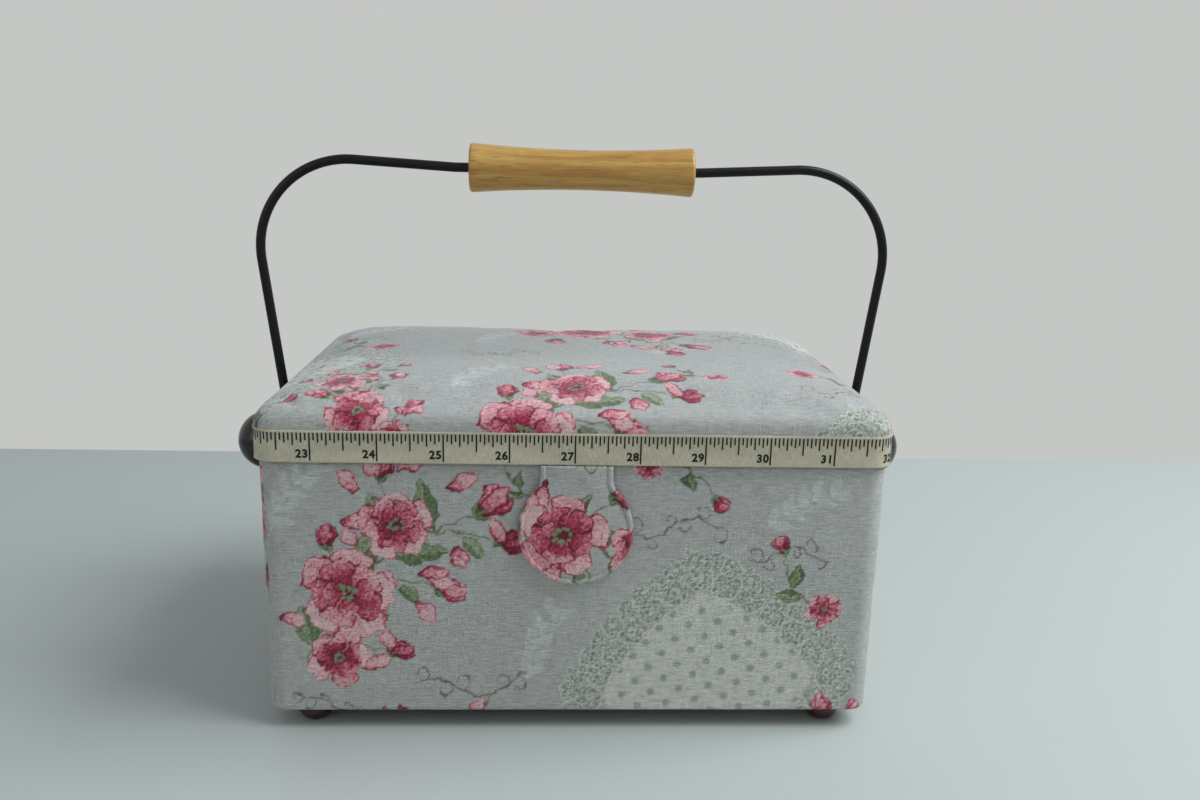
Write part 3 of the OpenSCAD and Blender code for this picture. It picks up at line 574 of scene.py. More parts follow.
class Printed:
    """A stretch of cloth being printed: points in millimetres and their screen colours."""

    def __init__(self, u, v):
        self.straight = u.ravel(), v.ravel()
        self.u = (u + 0.45 * waves(u, v, 21, 7) + 0.15 * waves(u, v, 22, 2.4)).ravel()
        self.v = (v + 0.45 * waves(u, v, 24, 7) + 0.15 * waves(u, v, 25, 2.4)).ravel()
        self.grain = waves(u, v, 23, 2.2, 30).ravel()
        self.colour = np.zeros((u.size, 3)) + GROUND

    def near(self, x, y, reach):
        """The points near a place, with their distances from it."""
        found = np.nonzero((np.abs(self.u - x) < reach) & (np.abs(self.v - y) < reach))[0]
        return found, self.u[found] - x, self.v[found] - y

    def around(self, x, y, turn, length, reach):
        """The points near a shape that runs along turn, as shares of its length and distances across it."""
        c, s = math.cos(turn), math.sin(turn)
        found, dx, dy = self.near(x + c * length / 2, y + s * length / 2, reach)
        return found, (dx * c + dy * s) / length + 0.5, dy * c - dx * s

    def lay(self, found, cover, tone):
        """Prints a colour on the points found, as far as cover, from 0 to 1, says."""
        self.colour[found] += np.clip(cover, 0, 1)[:, None] * (tone - self.colour[found])


def petal(cloth, x, y, turn, length, width, light, blunt):
    """One petal from its root, dark at the root and along its edge, with drawn streaks."""
    found, along, across = cloth.around(x, y, turn, length, length * 0.5 + width * 0.5)
    inside = (along > 0) & (along < 1)
    half = width / 2 * np.sin(math.pi * np.clip(along, 0, 1) ** (1 / blunt)) ** 0.6
    edge = half - np.abs(across)
    lobe = across / np.maximum(half, 0.2)
    streak = np.sin(lobe * 8 + 4 * along + 2.2 * cloth.grain[found] + 9 * light)
    tone = light + 0.5 * (along - 0.5) - 0.42 * np.clip(streak - 0.25, 0, 1) + 0.06 * cloth.grain[found]
    rim = np.clip(1.4 - edge / (0.04 * length + 0.3), 0, 1)
    tone = tone - 0.6 * rim - 0.4 * np.clip(1 - along / 0.3, 0, 1)
    cloth.lay(found, inside * (edge / 0.4 + 0.5), from_scale(PETAL_SCALE, tone))


def leaf(cloth, x, y, turn, length, width, light):
    """A pointed leaf from its stalk, with a pale rib, side veins and one darker half."""
    found, along, across = cloth.around(x, y, turn, length, length * 0.55 + 1)
    inside = (along > 0) & (along < 1)
    half = width / 2 * np.sin(math.pi * np.clip(along, 0, 1) ** 0.8) * (1 - 0.3 * along)
    edge = half - np.abs(across)
    vein = np.abs(np.sin((along * length - 0.9 * np.abs(across)) * 1.5))
    tone = light + 0.16 * np.sign(across) - 0.2 * np.clip(1 - vein / 0.35, 0, 1) + 0.12 * cloth.grain[found]
    tone = tone - 0.35 * np.clip(1 - edge / 0.7, 0, 1)
    tone = np.where(np.abs(across) < 0.3, light + 0.45, tone)
    cloth.lay(found, inside * (edge / 0.4 + 0.5), from_scale(LEAF_SCALE, tone))


def stroke(cloth, points, width, colour, strength=0.9):
    """A drawn line through points, which thins towards its ends."""
    points = np.array(points, float)
    middle = points.mean(0)
    reach = np.abs(points - middle).max() + 2
    found, dx, dy = cloth.near(middle[0], middle[1], reach)
    if not len(found):
        return
    nearest = np.full(len(found), 1e9)
    half = np.zeros(len(found))
    count = len(points)
    for k, (px, py) in enumerate(points - middle):
        gap = (dx - px) ** 2 + (dy - py) ** 2
        closer = gap < nearest
        nearest[closer] = gap[closer]
        half[closer] = width / 2 * (0.45 + 0.55 * math.sin(math.pi * (k + 0.5) / count))
    cover = (half - np.sqrt(nearest)) / 0.4 + 0.5
    cloth.lay(found, np.clip(cover, 0, 1) * strength, np.array(colour, float))


def curve(start, bend, end, step=0.5):
    """Points of a smooth curve from start to end, drawn towards bend."""
    start, bend, end = (np.array(p, float) for p in (start, bend, end))
    count = max(4, int((np.linalg.norm(bend - start) + np.linalg.norm(end - bend)) / step))
    t = np.linspace(0, 1, count)[:, None]
    return (1 - t) ** 2 * start + 2 * t * (1 - t) * bend + t ** 2 * end


def heading(turn, reach):
    """A step of some length along turn."""
    return np.array([math.cos(turn), math.sin(turn)]) * reach


# A flower's whorls: how many petals, their length and width as shares of the flower, and how light they are
WHORLS = ((5, 0.54, 0.5, 0.86), (5, 0.4, 0.42, 0.6), (4, 0.25, 0.3, 0.42))


def bloom(cloth, x, y, size, draw):
    """An open flower of three whorls of petals round a dark eye with a few stamens."""
    turn = draw.uniform(0, TAU)
    for ring, (count, reach, wide, light) in enumerate(WHORLS):
        for k in range(count):
            way = turn + ring * 0.5 + k * TAU / count + draw.uniform(-0.12, 0.12)
            root = heading(way, 0.04 * size)
            petal(cloth, x + root[0], y + root[1], way, size * reach * draw.uniform(0.9, 1.08),
                  size * wide * draw.uniform(0.9, 1.1), light + draw.uniform(-0.24, 0.14), 0.5)
    found, dx, dy = cloth.near(x, y, size * 0.1)
    cloth.lay(found, (size * 0.075 - np.hypot(dx, dy)) / 0.4 + 0.5, np.array(PETAL_SCALE[0]))
    for k in range(7):
        spot = heading(turn + k * TAU / 7, size * 0.085 * draw.uniform(0.7, 1.3))
        found, dx, dy = cloth.near(x + spot[0], y + spot[1], 1.5)
        cloth.lay(found, (0.035 * size - np.hypot(dx, dy)) / 0.3 + 0.5, np.array(LEAF_SCALE[2]))


def bud(cloth, x, y, turn, length, light):
    """A closed bud on its calyx, pointing along turn."""
    for side, shade in ((-0.3, -0.2), (0.3, 0.05), (0.0, 0.12)):
        petal(cloth, x, y, turn + side, length * (0.9 if side else 1), length * 0.46, light + shade, 0.75)
    for side in (-0.75, 0.0, 0.75):
        leaf(cloth, x - math.cos(turn) * 0.1 * length, y - math.sin(turn) * 0.1 * length, turn + side,
             length * 0.42, length * 0.17, 0.3)


def spray(cloth, x, y, turn, size, seed):
    """Flowers, buds and leaves on a bent stem that starts at a point and runs along turn."""
    draw = np.random.default_rng(seed)
    start = np.array([x, y])
    tip = start + heading(turn, size)
    bend = start + heading(turn + 0.45, size * 0.55)
    stem = curve(start, bend, tip)
    stroke(cloth, stem, 1.1, STEM)
    side = 1
    for share in (0.08, 0.26, 0.44, 0.62, 0.8):
        joint = stem[int(share * (len(stem) - 1))]
        way = turn + side * draw.uniform(0.6, 1.1)
        long = size * draw.uniform(0.2, 0.28)
        leaf(cloth, *joint, way, long, long * 0.5, draw.uniform(0.35, 0.65))
        end = joint + heading(turn - side * draw.uniform(0.7, 1.0), size * draw.uniform(0.26, 0.36))
        stroke(cloth, curve(joint, (joint + end) / 2 + heading(turn, size * 0.06), end), 0.7, STEM)
        bud(cloth, *end, turn - side * draw.uniform(0.5, 1.1), size * draw.uniform(0.11, 0.15),
            draw.uniform(0.35, 0.7))
        leaf(cloth, *(joint + (end - joint) * 0.5), turn - side * 1.5, long * 0.55, long * 0.28,
             draw.uniform(0.4, 0.7))
        side = -side
    for _ in range(16):
        joint = stem[draw.integers(len(stem))]
        root = joint + heading(turn + draw.choice((-1.3, 1.3)), size * draw.uniform(0.1, 0.32))
        way = turn + draw.uniform(-1.8, 1.8)
        petal(cloth, *root, way, size * draw.uniform(0.1, 0.15), size * 0.07, draw.uniform(0.8, 1.0), 0.8)
    bloom(cloth, *(stem[int(0.72 * (len(stem) - 1))] + heading(turn + 1.6, size * 0.1)), size * 0.27, draw)
    bloom(cloth, *stem[int(0.36 * (len(stem) - 1))], size * 0.36, draw)
    bloom(cloth, *(stem[int(0.12 * (len(stem) - 1))] + heading(turn - 1.5, size * 0.13)), size * 0.23, draw)
    bud(cloth, *tip, turn, size * 0.18, 0.6)


def sprig(cloth, x, y, turn, size, seed):
    """One flower with a bud and two leaves."""
    draw = np.random.default_rng(seed)
    start = np.array([x, y])
    end = start + heading(turn, size)
    stem = curve(start, start + heading(turn + 0.6, size * 0.6), end)
    stroke(cloth, stem, 0.9, STEM)
    leaf(cloth, *stem[len(stem) // 3], turn + 0.9, size * 0.4, size * 0.2, 0.5)
    leaf(cloth, *stem[len(stem) // 2], turn - 0.8, size * 0.36, size * 0.18, 0.35)
    bud(cloth, *end, turn - 0.2, size * 0.28, 0.5)
    bloom(cloth, x, y, size * 0.42, draw)


def tendril(cloth, x, y, turn, size, seed):
    """A curling vine line with small curls on alternate sides."""
    draw = np.random.default_rng(seed)
    t = np.linspace(0, 1, int(size * 2))
    line = np.column_stack([t * size, 0.1 * size * np.sin(t * 7 + draw.uniform(0, TAU))])
    c, s = math.cos(turn), math.sin(turn)
    turned = np.array([[c, s], [-s, c]])
    stroke(cloth, line @ turned + (x, y), 0.75, INK, 0.8)
    round_ = np.linspace(0, 1, 26)
    side = 1
    for share in np.arange(0.08, 0.95, 0.17):
        root = line[int(share * (len(line) - 1))]
        radius = size * 0.085 * (1 - 0.72 * round_) * draw.uniform(0.8, 1.2)
        way = side * (round_ * 5.4 - math.pi / 2)
        curl = root + np.column_stack([radius * np.cos(way), radius * np.sin(way) + side * radius[0]])
        stroke(cloth, curl @ turned + (x, y), 0.65, INK, 0.8)
        side = -side


def rosette(cloth, x, y, size, turn):
    """One eyelet flower of the printed lace: eight loops round an eye, with a speckled shade under them."""
    found, dx, dy = cloth.near(x, y, size * 0.62)
    away = np.hypot(dx, dy) / (size / 2)
    loops = 0.5 + 0.5 * np.cos(8 * (np.arctan2(dy, dx) - turn))
    speck = 0.5 + 0.5 * cloth.grain[found]
    cloth.lay(found, np.clip((1.12 - away) * 3, 0, 1) * (0.15 + 0.75 * speck), np.array(LACE_DARK))
    thread = np.maximum(1 - np.abs(away - 0.42 - 0.28 * loops) / 0.1, 1 - np.abs(away - 0.2) / 0.11)
    thread = np.maximum(thread, 1 - np.abs(away - 0.92) / 0.09)
    cloth.lay(found, np.clip(thread * 2, 0, 1) * 0.85, np.array(LACE_PALE))


def patch(cloth, x, y, wide, high, turn):
    """A pale dotted patch, a rounded diamond, in a border of two rows of lace rosettes."""
    c, s = math.cos(turn), math.sin(turn)
    found, dx, dy = cloth.near(x, y, 0.8 * (wide + high))
    a, b = dx * c + dy * s, dy * c - dx * s
    reach = (np.abs(a / (wide / 2)) ** BULGE + np.abs(b / (high / 2)) ** BULGE) ** (1 / BULGE)
    away = (reach - 1) * min(wide, high) / 2
    cloth.lay(found, -away / 0.6, np.array(PATCH))
    dx, dy = cloth.straight[0][found] - x, cloth.straight[1][found] - y
    a, b = dx * c + dy * s, dy * c - dx * s
    line = np.clip(1 - np.abs(np.mod(b + 0.3 * cloth.grain[found], 3.0) - 1.5) / 0.5, 0, 1)
    cloth.lay(found, (away < 0) * line * 0.6, np.array(PATCH_LINE))
    row = np.round(b / DOT_ROW)
    shift = (row % 2) * DOT_PITCH / 2
    gap = np.hypot(a - shift - np.round((a - shift) / DOT_PITCH) * DOT_PITCH, b - row * DOT_ROW)
    cloth.lay(found, (away < -1.5) * ((DOT_R - gap) / 0.5 + 0.5) * 0.75, np.array(PATCH_DOT))
    t = np.linspace(0, TAU, 721)
    for out, size in LACE_ROWS:
        edge = np.stack([np.sign(wave) * np.abs(wave) ** (2 / BULGE) * (length / 2 + out)
                         for wave, length in ((np.cos(t), wide), (np.sin(t), high))], 1)
        run = run_along(edge)
        count = int(run[-1] / (size * 0.94))
        for k in range(count):
            dx, dy = (np.interp(k / count * run[-1], run, edge[:, i]) for i in range(2))
            rosette(cloth, x + dx * c - dy * s, y + dx * s + dy * c, size, 0.7 * k)


def pale_trail(cloth, x, y, turn, size, seed):
    """A faint pale stem with paired leaves in the ground of the cloth."""
    draw = np.random.default_rng(seed)
    start = np.array([x, y])
    stem = curve(start, start + heading(turn + 0.4, size * 0.5), start + heading(turn, size), 0.4)
    stroke(cloth, stem, 1.1, GHOST, 0.7)
    for share in (0.1, 0.3, 0.5, 0.7, 0.9):
        joint = stem[int(share * (len(stem) - 1))]
        for side in (-1, 1):
            tip = joint + heading(turn + side * draw.uniform(0.6, 0.9), size * draw.uniform(0.2, 0.26))
            stroke(cloth, curve(joint, (joint + tip) / 2, tip, 0.3), 0.11 * size, GHOST, 0.6)


# A patch: its dots, how full its diamond is, and how far out each row of rosettes lies and their size
DOT_PITCH, DOT_ROW, DOT_R = 12.0, 5.6, 1.65
BULGE = 1.3
LACE_ROWS = ((5.5, 12.0), (14.5, 9.0))

# The repeat of the print, in millimetres: each column lies half a repeat lower than the one before
REPEAT_W, REPEAT_H = 260.0, 210.0
PATCHES = [(186, 16, 88, 84, 0.12)]
TRAILS = [(10, 82, 0.9, 34, 1), (112, 18, 1.2, 34, 2), (206, 84, 0.5, 34, 3), (96, 140, 0.7, 36, 4),
          (16, 160, 1.1, 32, 5), (238, 166, -0.9, 32, 6)]
TENDRILS = [(150, 84, 0.05, 40, 1), (200, 74, 0.0, 32, 7), (66, 14, 0.08, 46, 3), (16, 8, -0.05, 30, 4),
            (118, 176, 0.1, 44, 5), (130, 192, 0.0, 30, 6), (8, 136, 0.05, 36, 8), (196, 122, -0.05, 30, 9)]
SPRAYS = [(22, 26, 0.74, 94, 31), (36, 200, -0.45, 84, 32), (246, 150, 1.75, 62, 33)]
SPRIGS = [(158, 112, -0.5, 30, 41), (232, 50, 2.2, 30, 42), (184, 160, 0.7, 26, 43), (118, 96, 2.4, 22, 44)]


def print_colour(u, v):
    """Linear colour of the printed cloth at points in millimetres."""
    cloth = Printed(u, v)
    low, high = np.array([u.min(), v.min()]) - 100, np.array([u.max(), v.max()]) + 100
    first = np.floor(low / (REPEAT_W, REPEAT_H)).astype(int) - 1
    last = np.ceil(high / (REPEAT_W, REPEAT_H)).astype(int) + 1
    tiles = [(i * REPEAT_W, (j + 0.5 * (i % 2)) * REPEAT_H)
             for i in range(first[0], last[0] + 1) for j in range(first[1], last[1] + 1)]
    layers = ((patch, PATCHES), (pale_trail, TRAILS), (tendril, TENDRILS), (sprig, SPRIGS), (spray, SPRAYS))
    for motif, places in layers:
        for x, y, *rest in places:
            for tile_x, tile_y in tiles:
                if low[0] < x + tile_x < high[0] and low[1] < y + tile_y < high[1]:
                    motif(cloth, x + tile_x, y + tile_y, *rest)
    return linear(cloth.colour).reshape(u.shape + (3,))


PRINTED = linen("printed_linen")
TURNED = felted("turned_linen", GROUND)
TAPE = tape_cloth("tape_cotton", (193, 183, 158))
TAPE_INK = moulding("tape_ink", (16, 15, 15), 0.8, 0.02)
BOARD = pressed_board("fibreboard")
BLACK_CLOTH = felted("base_felt", (30, 28, 27))
SATIN = satin("satin_lining", (214, 200, 182))
PIN_CLOTH = satin("pincushion_satin", (165, 52, 74), 0.42)
FOOT = moulding("foot_plastic", (58, 26, 30), 0.2)
KNOB = moulding("knob_plastic", (13, 13, 14), 0.14)
ENAMEL = moulding("wire_enamel", (10, 10, 11), 0.36, 0.08, Specular_IOR_Level=0.25)
WOOD = turned_wood("grip_wood")
ZINC = plated("zinc", (190, 192, 194), 0.36)
NICKEL = plated("hinge_nickel", (160, 160, 158), 0.3)
IVORY = moulding("tray_plastic", (224, 219, 206), 0.36, 0.05, 0.05)


# Body


# Size of the cells that carry the print, and where the print lies on the body, the lid and the tab
CELL = 0.56
BODY_PRINT = (130.0, 110.0)
LID_PRINT = (60.0, 150.0)
TAB_PRINT = (72.0, 197.0)
LIP_IN = (BODY_W - (lining_high - lining_low)[0]) / 2
HEM_IN = 8.5
EDGE_R = 1.5
LAP_W, LAP_T = 12.0, 0.5
# How much of the wall's foot is glued flat, and over what distance the cloth comes loose
HELD, FREE = 6.0, 8.0


def body_profile():
    """Closed section of the body's cloth: (out, up, distance down the cloth), from lip to hem and back."""
    top, low = TOP_Z, BASE_Z
    lip = [(-x, top, -x) for x in np.linspace(LIP_IN, EDGE_R, 6)[:-1]]
    upper = arc((-EDGE_R, top - EDGE_R), EDGE_R, math.pi / 2, 0, 5)
    lower = arc((-EDGE_R, low + EDGE_R), EDGE_R, 0, -math.pi / 2, 5)
    rows = max(2, int((top - low - 2 * EDGE_R) / CELL))
    wall = [(0.0, z) for z in np.linspace(top - EDGE_R, low + EDGE_R, rows + 1)[1:-1]]
    hem = [(-x, low) for x in np.linspace(EDGE_R, HEM_IN, 8)[1:]]
    outer = np.array([p[:2] for p in lip] + list(upper) + wall + list(lower) + hem)
    inner = np.array([(-HEM_IN, low + CLOTH_T), (-CLOTH_T, low + CLOTH_T),
                      (-CLOTH_T, top - CLOTH_T), (-LIP_IN, top - CLOTH_T)])
    run = run_along(outer)
    run = np.concatenate([run, [run[-1]] * 2, [0, 0]]) - LIP_IN
    return np.concatenate([outer, inner]), run, len(outer)


def body_cloth():
    """The printed cloth on the four walls, turned over the top and under the base, with a lap seam behind."""
    outline = Outline(BODY_W, BODY_D, BODY_R)
    section, run, outer_rows = body_profile()
    down = run[:outer_rows]
    slack = np.zeros((len(section), 1))
    slack[:outer_rows, 0] = np.clip(np.minimum(down, down[-1] - down - HELD) / FREE, 0, 1)
    start = -(outline.long + outline.corner) / 2
    for side in ("front", "right", "back", "left"):
        wide = outline.corner + (outline.long if side in ("front", "back") else outline.short)
        s = start + np.linspace(0, wide, int(wide / CELL) + 1)[None, :]
        u, v = np.broadcast_arrays(s, -run[:, None])
        ripple = slack * (0.10 * waves(u, v, 5, 46) + 0.05 * waves(u, v, 6, 15))
        if side == "back":
            past = u - start - wide / 2 + LAP_W / 2
            ripple = ripple + LAP_T * slack * np.clip(past / LAP_W, 0, 1) * (past < LAP_W)
        xy, normal = outline.at(u, section[:, :1])
        xy = xy + normal * ripple[..., None]
        points = np.concatenate([xy, np.broadcast_to(section[:, 1:], u.shape)[..., None]], -1)
        name = side + "_cloth"
        mesh = write_mesh(name, points, grid_quads(*u.shape, wrap_rows=True), end_caps(*u.shape),
                          np.stack([u, v], -1), print_colour(u + BODY_PRINT[0], v + BODY_PRINT[1]))
        cloth = place(new_object(name, mesh, PRINTED), "box", "printed_cloth", "outer_fabric")
        start += wide


# Lid


def even_steps(width, height, square, steep, count):
    """An odd count of shares from -1 to 1 that lie evenly spaced along a crowned section."""
    share = 1 - (1 - np.linspace(0, 1, 4000)) ** 3
    up = height * np.maximum(0, 1 - share ** square) ** (1 / steep)
    run = run_along(np.column_stack([share * width / 2, up]))
    half = np.interp(np.linspace(0, run[-1], count // 2 + 1), run, share)
    return np.concatenate([-half[:0:-1], half])


def plan_grid(width, depth, radius, across, up):
    """Points of a grid over a rounded rectangle, and how far out each lies, where 1 is the outline."""
    x, y = np.meshgrid(across, up)
    out = np.maximum(np.abs(x), np.abs(y))
    scale = np.maximum(out, 1e-9)
    ex, ey = x / scale * width / 2, y / scale * depth / 2
    cx, cy = width / 2 - radius, depth / 2 - radius
    px, py = np.abs(ex), np.abs(ey)
    corner = (px > cx) & (py > cy) & (py * cx < px * (cy + radius)) & (px * cy < py * (cx + radius))
    a = px ** 2 + py ** 2
    b = px * cx + py * cy
    c = cx ** 2 + cy ** 2 - radius ** 2
    root = (b + np.sqrt(np.maximum(b * b - a * c, 0))) / a
    shrink = np.where(corner, np.minimum(root, 1), 1)
    k = 1 + (shrink - 1) * out ** 4
    return x * width / 2 * k, y * depth / 2 * k, out


def crown(x, y, out, width, depth, height, square, steep):
    """Height of a padded form, as in the solids."""
    reach = (np.abs(x / (width / 2)) ** 8 + np.abs(y / (depth / 2)) ** 8) ** (1 / 8)
    scale = np.maximum(out, 1e-9)
    edge = (np.abs(x / scale / (width / 2)) ** 8 + np.abs(y / scale / (depth / 2)) ** 8) ** (1 / 8)
    m = reach / (1 + (np.maximum(edge, 0.5) - 1) * out ** 4)
    m = np.where(out > 0.9999, 1, m)
    return height * np.maximum(0, 1 - m ** square) ** (1 / steep)


def surface_uv(points):
    """Distances along the cloth from its middle, across and up, for a grid of points."""
    rows, columns = points.shape[:2]
    u, v = np.zeros((rows, columns)), np.zeros((rows, columns))
    u[:, 1:] = np.cumsum(np.linalg.norm(np.diff(points, axis=1), axis=2), 1)
    v[1:] = np.cumsum(np.linalg.norm(np.diff(points, axis=0), axis=2), 0)
    return np.stack([u - u[:, columns // 2][:, None], v - v[rows // 2]], -1)


def close_under(points, floor_z):
    """A ring of points under a grid's edge, with the quads that join it and the cap below."""
    rows, columns = points.shape[:2]
    ring = border(rows, columns)
    low = points.reshape(-1, 3)[ring].copy()
    low[:, 2] = floor_z
    under = rows * columns + np.arange(len(ring))
    quads = np.stack([ring, under, np.roll(under, -1), np.roll(ring, -1)], -1)
    return low, quads, under[::-1]


def settled(points, out, pressure, cap, frames=16):
    """How far a grid's points move as its cloth is blown up over the wadding, pinned along its edge."""
    rows, columns = points.shape[:2]
    form = new_object("pad_form", write_mesh("pad_form", points, grid_quads(rows, columns)))
    pins = form.vertex_groups.new(name="pins")
    pins.add([int(k) for k in np.nonzero(out.ravel() > 0.985)[0]], 1.0, "REPLACE")
    cloth = form.modifiers.new("cloth", "CLOTH")
    cloth.settings.quality = 6
    cloth.settings.mass = 0.2
    cloth.settings.tension_stiffness = 15
    cloth.settings.bending_stiffness = 0.6
    cloth.settings.shrink_min = -0.012
    cloth.settings.vertex_group_mass = "pins"
    cloth.settings.use_pressure = True
    cloth.settings.uniform_pressure_force = pressure
    cloth.settings.effector_weights.gravity = 0
    cloth.collision_settings.use_collision = False
    for step in range(1, frames + 1):
        bpy.context.scene.frame_set(step)
    mesh = form.evaluated_get(bpy.context.evaluated_depsgraph_get()).to_mesh()
    after = np.zeros(rows * columns * 3)
    mesh.vertices.foreach_get("co", after)
    form.to_mesh_clear()
    bpy.data.objects.remove(form)
    bpy.context.scene.frame_set(1)
    moved = after.reshape(points.shape) / MM - points
    far = np.linalg.norm(moved, axis=-1, keepdims=True)
    return moved * np.minimum(1, cap / np.maximum(far, 1e-9))


def crowned(name, points, floor_z, material, print_at=None):
    """A closed pad: a grid of points, walls down to a flat back, and a cloth map with or without print."""
    uv = surface_uv(points)
    low, wall, cap = close_under(points, floor_z)
    colour = None
    if print_at:
        colour = print_colour(uv[..., 0] + print_at[0], uv[..., 1] + print_at[1]).reshape(-1, 3)
        colour = np.concatenate([colour, np.zeros(low.shape) + linear(GROUND)])
    mesh = write_mesh(name, np.concatenate([points.reshape(-1, 3), low]),
                      np.concatenate([grid_quads(*points.shape[:2]), wall]), [cap],
                      np.concatenate([uv.reshape(-1, 2), low[:, :2]]), colour)
    return new_object(name, mesh, material)


# The crown of the lid, as in the solids, the simulation's pressure and how far it may move the crown
LID_SHAPE = (4.05, 2.87)
SETTLE_PRESSURE, SETTLE_CAP = 4.0, 1.1


def lid_pad():
    """The padded top: a crowned form in printed cloth, closed by a flat underside."""
    across = even_steps(COVER_W, CROWN_H, *LID_SHAPE, 127)
    up = even_steps(COVER_D, CROWN_H, *LID_SHAPE, 87)
    x, y, out = plan_grid(COVER_W, COVER_D, COVER_R, across, up)
    z = LID_TOP_Z + crown(x, y, out, COVER_W, COVER_D, CROWN_H, *LID_SHAPE)
    points = np.stack([x, y, z], -1)
    moved = settled(points[::2, ::2], out[::2, ::2], SETTLE_PRESSURE, SETTLE_CAP)
    fade = np.clip((1 - out) / 0.08, 0, 1)[..., None]
    points = points + (refine(moved, 2) - (0, 0, 0.5 * SETTLE_CAP)) * fade
    pad = crowned("lid_pad", refine(points, 4), LID_TOP_Z - 0.4, PRINTED, LID_PRINT)
    place(pad, "lid", "printed_cloth", "lid_cover", "lid_wadding")


def tape_ripple(s, up, outline):
    """How far the tape stands off the lid, which dies away at its joint behind."""
    return 0.05 * waves(s, up, 8, 30) * np.clip((outline.length / 2 - np.abs(s)) / 6, 0, 1)


def ribbon():
    """The woven tape round the lid, with a thicker woven edge along its top and bottom."""
    outline = Outline(RIBBON_W, RIBBON_D, RIBBON_R)
    columns = 960
    s = (np.arange(columns)[None, :] / columns - 0.5) * outline.length
    low, high, t = LID_Z, LID_TOP_Z, RIBBON_T
    section = np.array([(-t, low), (-0.12, low), (0.02, low + 0.15), (0.02, low + 0.7),
                        (-0.06, low + 0.95), (-0.06, (low + high) / 2), (-0.06, high - 1.05),
                        (0.03, high - 0.8), (0.03, high - 0.2), (-0.1, high), (-t, high)])
    u = np.broadcast_to(s, (len(section), columns))
    v = np.broadcast_to(section[:, 1:] - low, u.shape)
    xy, normal = outline.at(u, section[:, :1])
    ripple = tape_ripple(u, v, outline)
    ripple[[0, -1]] = 0
    points = np.concatenate([xy + normal * ripple[..., None], v[..., None] + low], -1)
    mesh = write_mesh("tape_band", points, grid_quads(len(section), columns, True, True), (),
                      np.stack([u, v], -1))
    band = place(new_object("tape_band", mesh, TAPE), "lid", "ribbon", "tape_ribbon")
    tape_ticks(outline)
    tape_numbers(outline)
    tape_end(outline)


# The scale: its value at the middle of the front, its ticks and its numbers
SCALE_AT_MIDDLE = 27.03
TICKS_TO_INCH = 16
TICK_W = 0.6
TICK_TOP = 0.75
INK_T = 0.05
# Every so many ticks, a tick is so much longer
TICK_LENGTHS = ((1, 3.0), (2, 1.0), (4, 1.0), (8, 2.0), (16, 4.2))
DIGIT_SIZE = 4.5
DIGIT_UP = 2.1
DIGIT_GAP = 0.35
DIGIT_WEIGHT = 0.17
DIGIT_SPACING = 1.12
NUMBER_W, NUMBER_CUT = 6.0, 0.6
# The lapped end: its length and where it starts and ends over the tape's lower edge
TAPE_LAP = 14.0
TAPE_LAP_Z = (0.1, 12.5)


def tick_tree():
    """Upright marks along X that hang from Z = 0. Each counts how many steps of the scale it lies on."""
    tree = bpy.data.node_groups.new("tape_ticks", "GeometryNodeTree")
    sockets = {}
    for name, kind in (("First", "Int"), ("Count", "Int"), ("Pitch", "Float"), ("Width", "Float"),
                       ("Thickness", "Float"), ("Ink", "Material")):
        socket = tree.interface.new_socket(name, in_out="INPUT", socket_type="NodeSocket" + kind)
        sockets[name] = socket.identifier
    tree.interface.new_socket("Marks", in_out="OUTPUT", socket_type="NodeSocketGeometry")
    given = tree.nodes.new("NodeGroupInput").outputs
    result = tree.nodes.new("NodeGroupOutput")
    step = add(tree, "CombineXYZ", {"X": given["Pitch"]})
    start = add(tree, "CombineXYZ", {"X": math_of(tree, "MULTIPLY", given["Pitch"], given["First"])})
    line = add(tree, "GeometryNodeMeshLine", {"Count": given["Count"], "Start Location": start,
                                              "Offset": step})
    number = math_of(tree, "ADD", add(tree, "GeometryNodeInputIndex"), given["First"])
    length = TICK_LENGTHS[0][1]
    for every, more in TICK_LENGTHS[1:]:
        past = math_of(tree, "FLOORED_MODULO", number, float(every))
        length = math_of(tree, "MULTIPLY_ADD", math_of(tree, "COMPARE", past, 0.0, 0.1), more, length)
    size = add(tree, "CombineXYZ", {"X": given["Width"], "Y": given["Thickness"], "Z": 1.0})
    bar = add(tree, "GeometryNodeMeshCube", {"Size": size})
    bar = add(tree, "GeometryNodeTransform", {"Geometry": bar, "Translation": (0, 0, -0.5)})
    scale = add(tree, "CombineXYZ", {"X": 1.0, "Y": 1.0, "Z": length})
    bars = add(tree, "GeometryNodeInstanceOnPoints", {"Points": line, "Instance": bar, "Scale": scale})
    real = add(tree, "GeometryNodeRealizeInstances", {"Geometry": bars})
    inked = add(tree, "GeometryNodeSetMaterial", {"Geometry": real, "Material": given["Ink"]})
    tree.links.new(inked, result.inputs[0])
    return tree, sockets


def wrap_on_ribbon(mesh, outline):
    """Lays a flat mesh of X, height and thickness in millimetres round the ribbon, in metres."""
    flat = np.zeros(len(mesh.vertices) * 3)
    mesh.vertices.foreach_get("co", flat)
    flat = flat.reshape(-1, 3)
    off = tape_ripple(flat[:, 0], flat[:, 2] - LID_Z, outline)
    xy, _ = outline.at(flat[:, 0], off - flat[:, 1])
    mesh.vertices.foreach_set("co", (np.column_stack([xy, flat[:, 2]]) * MM).ravel())
    mesh.update()


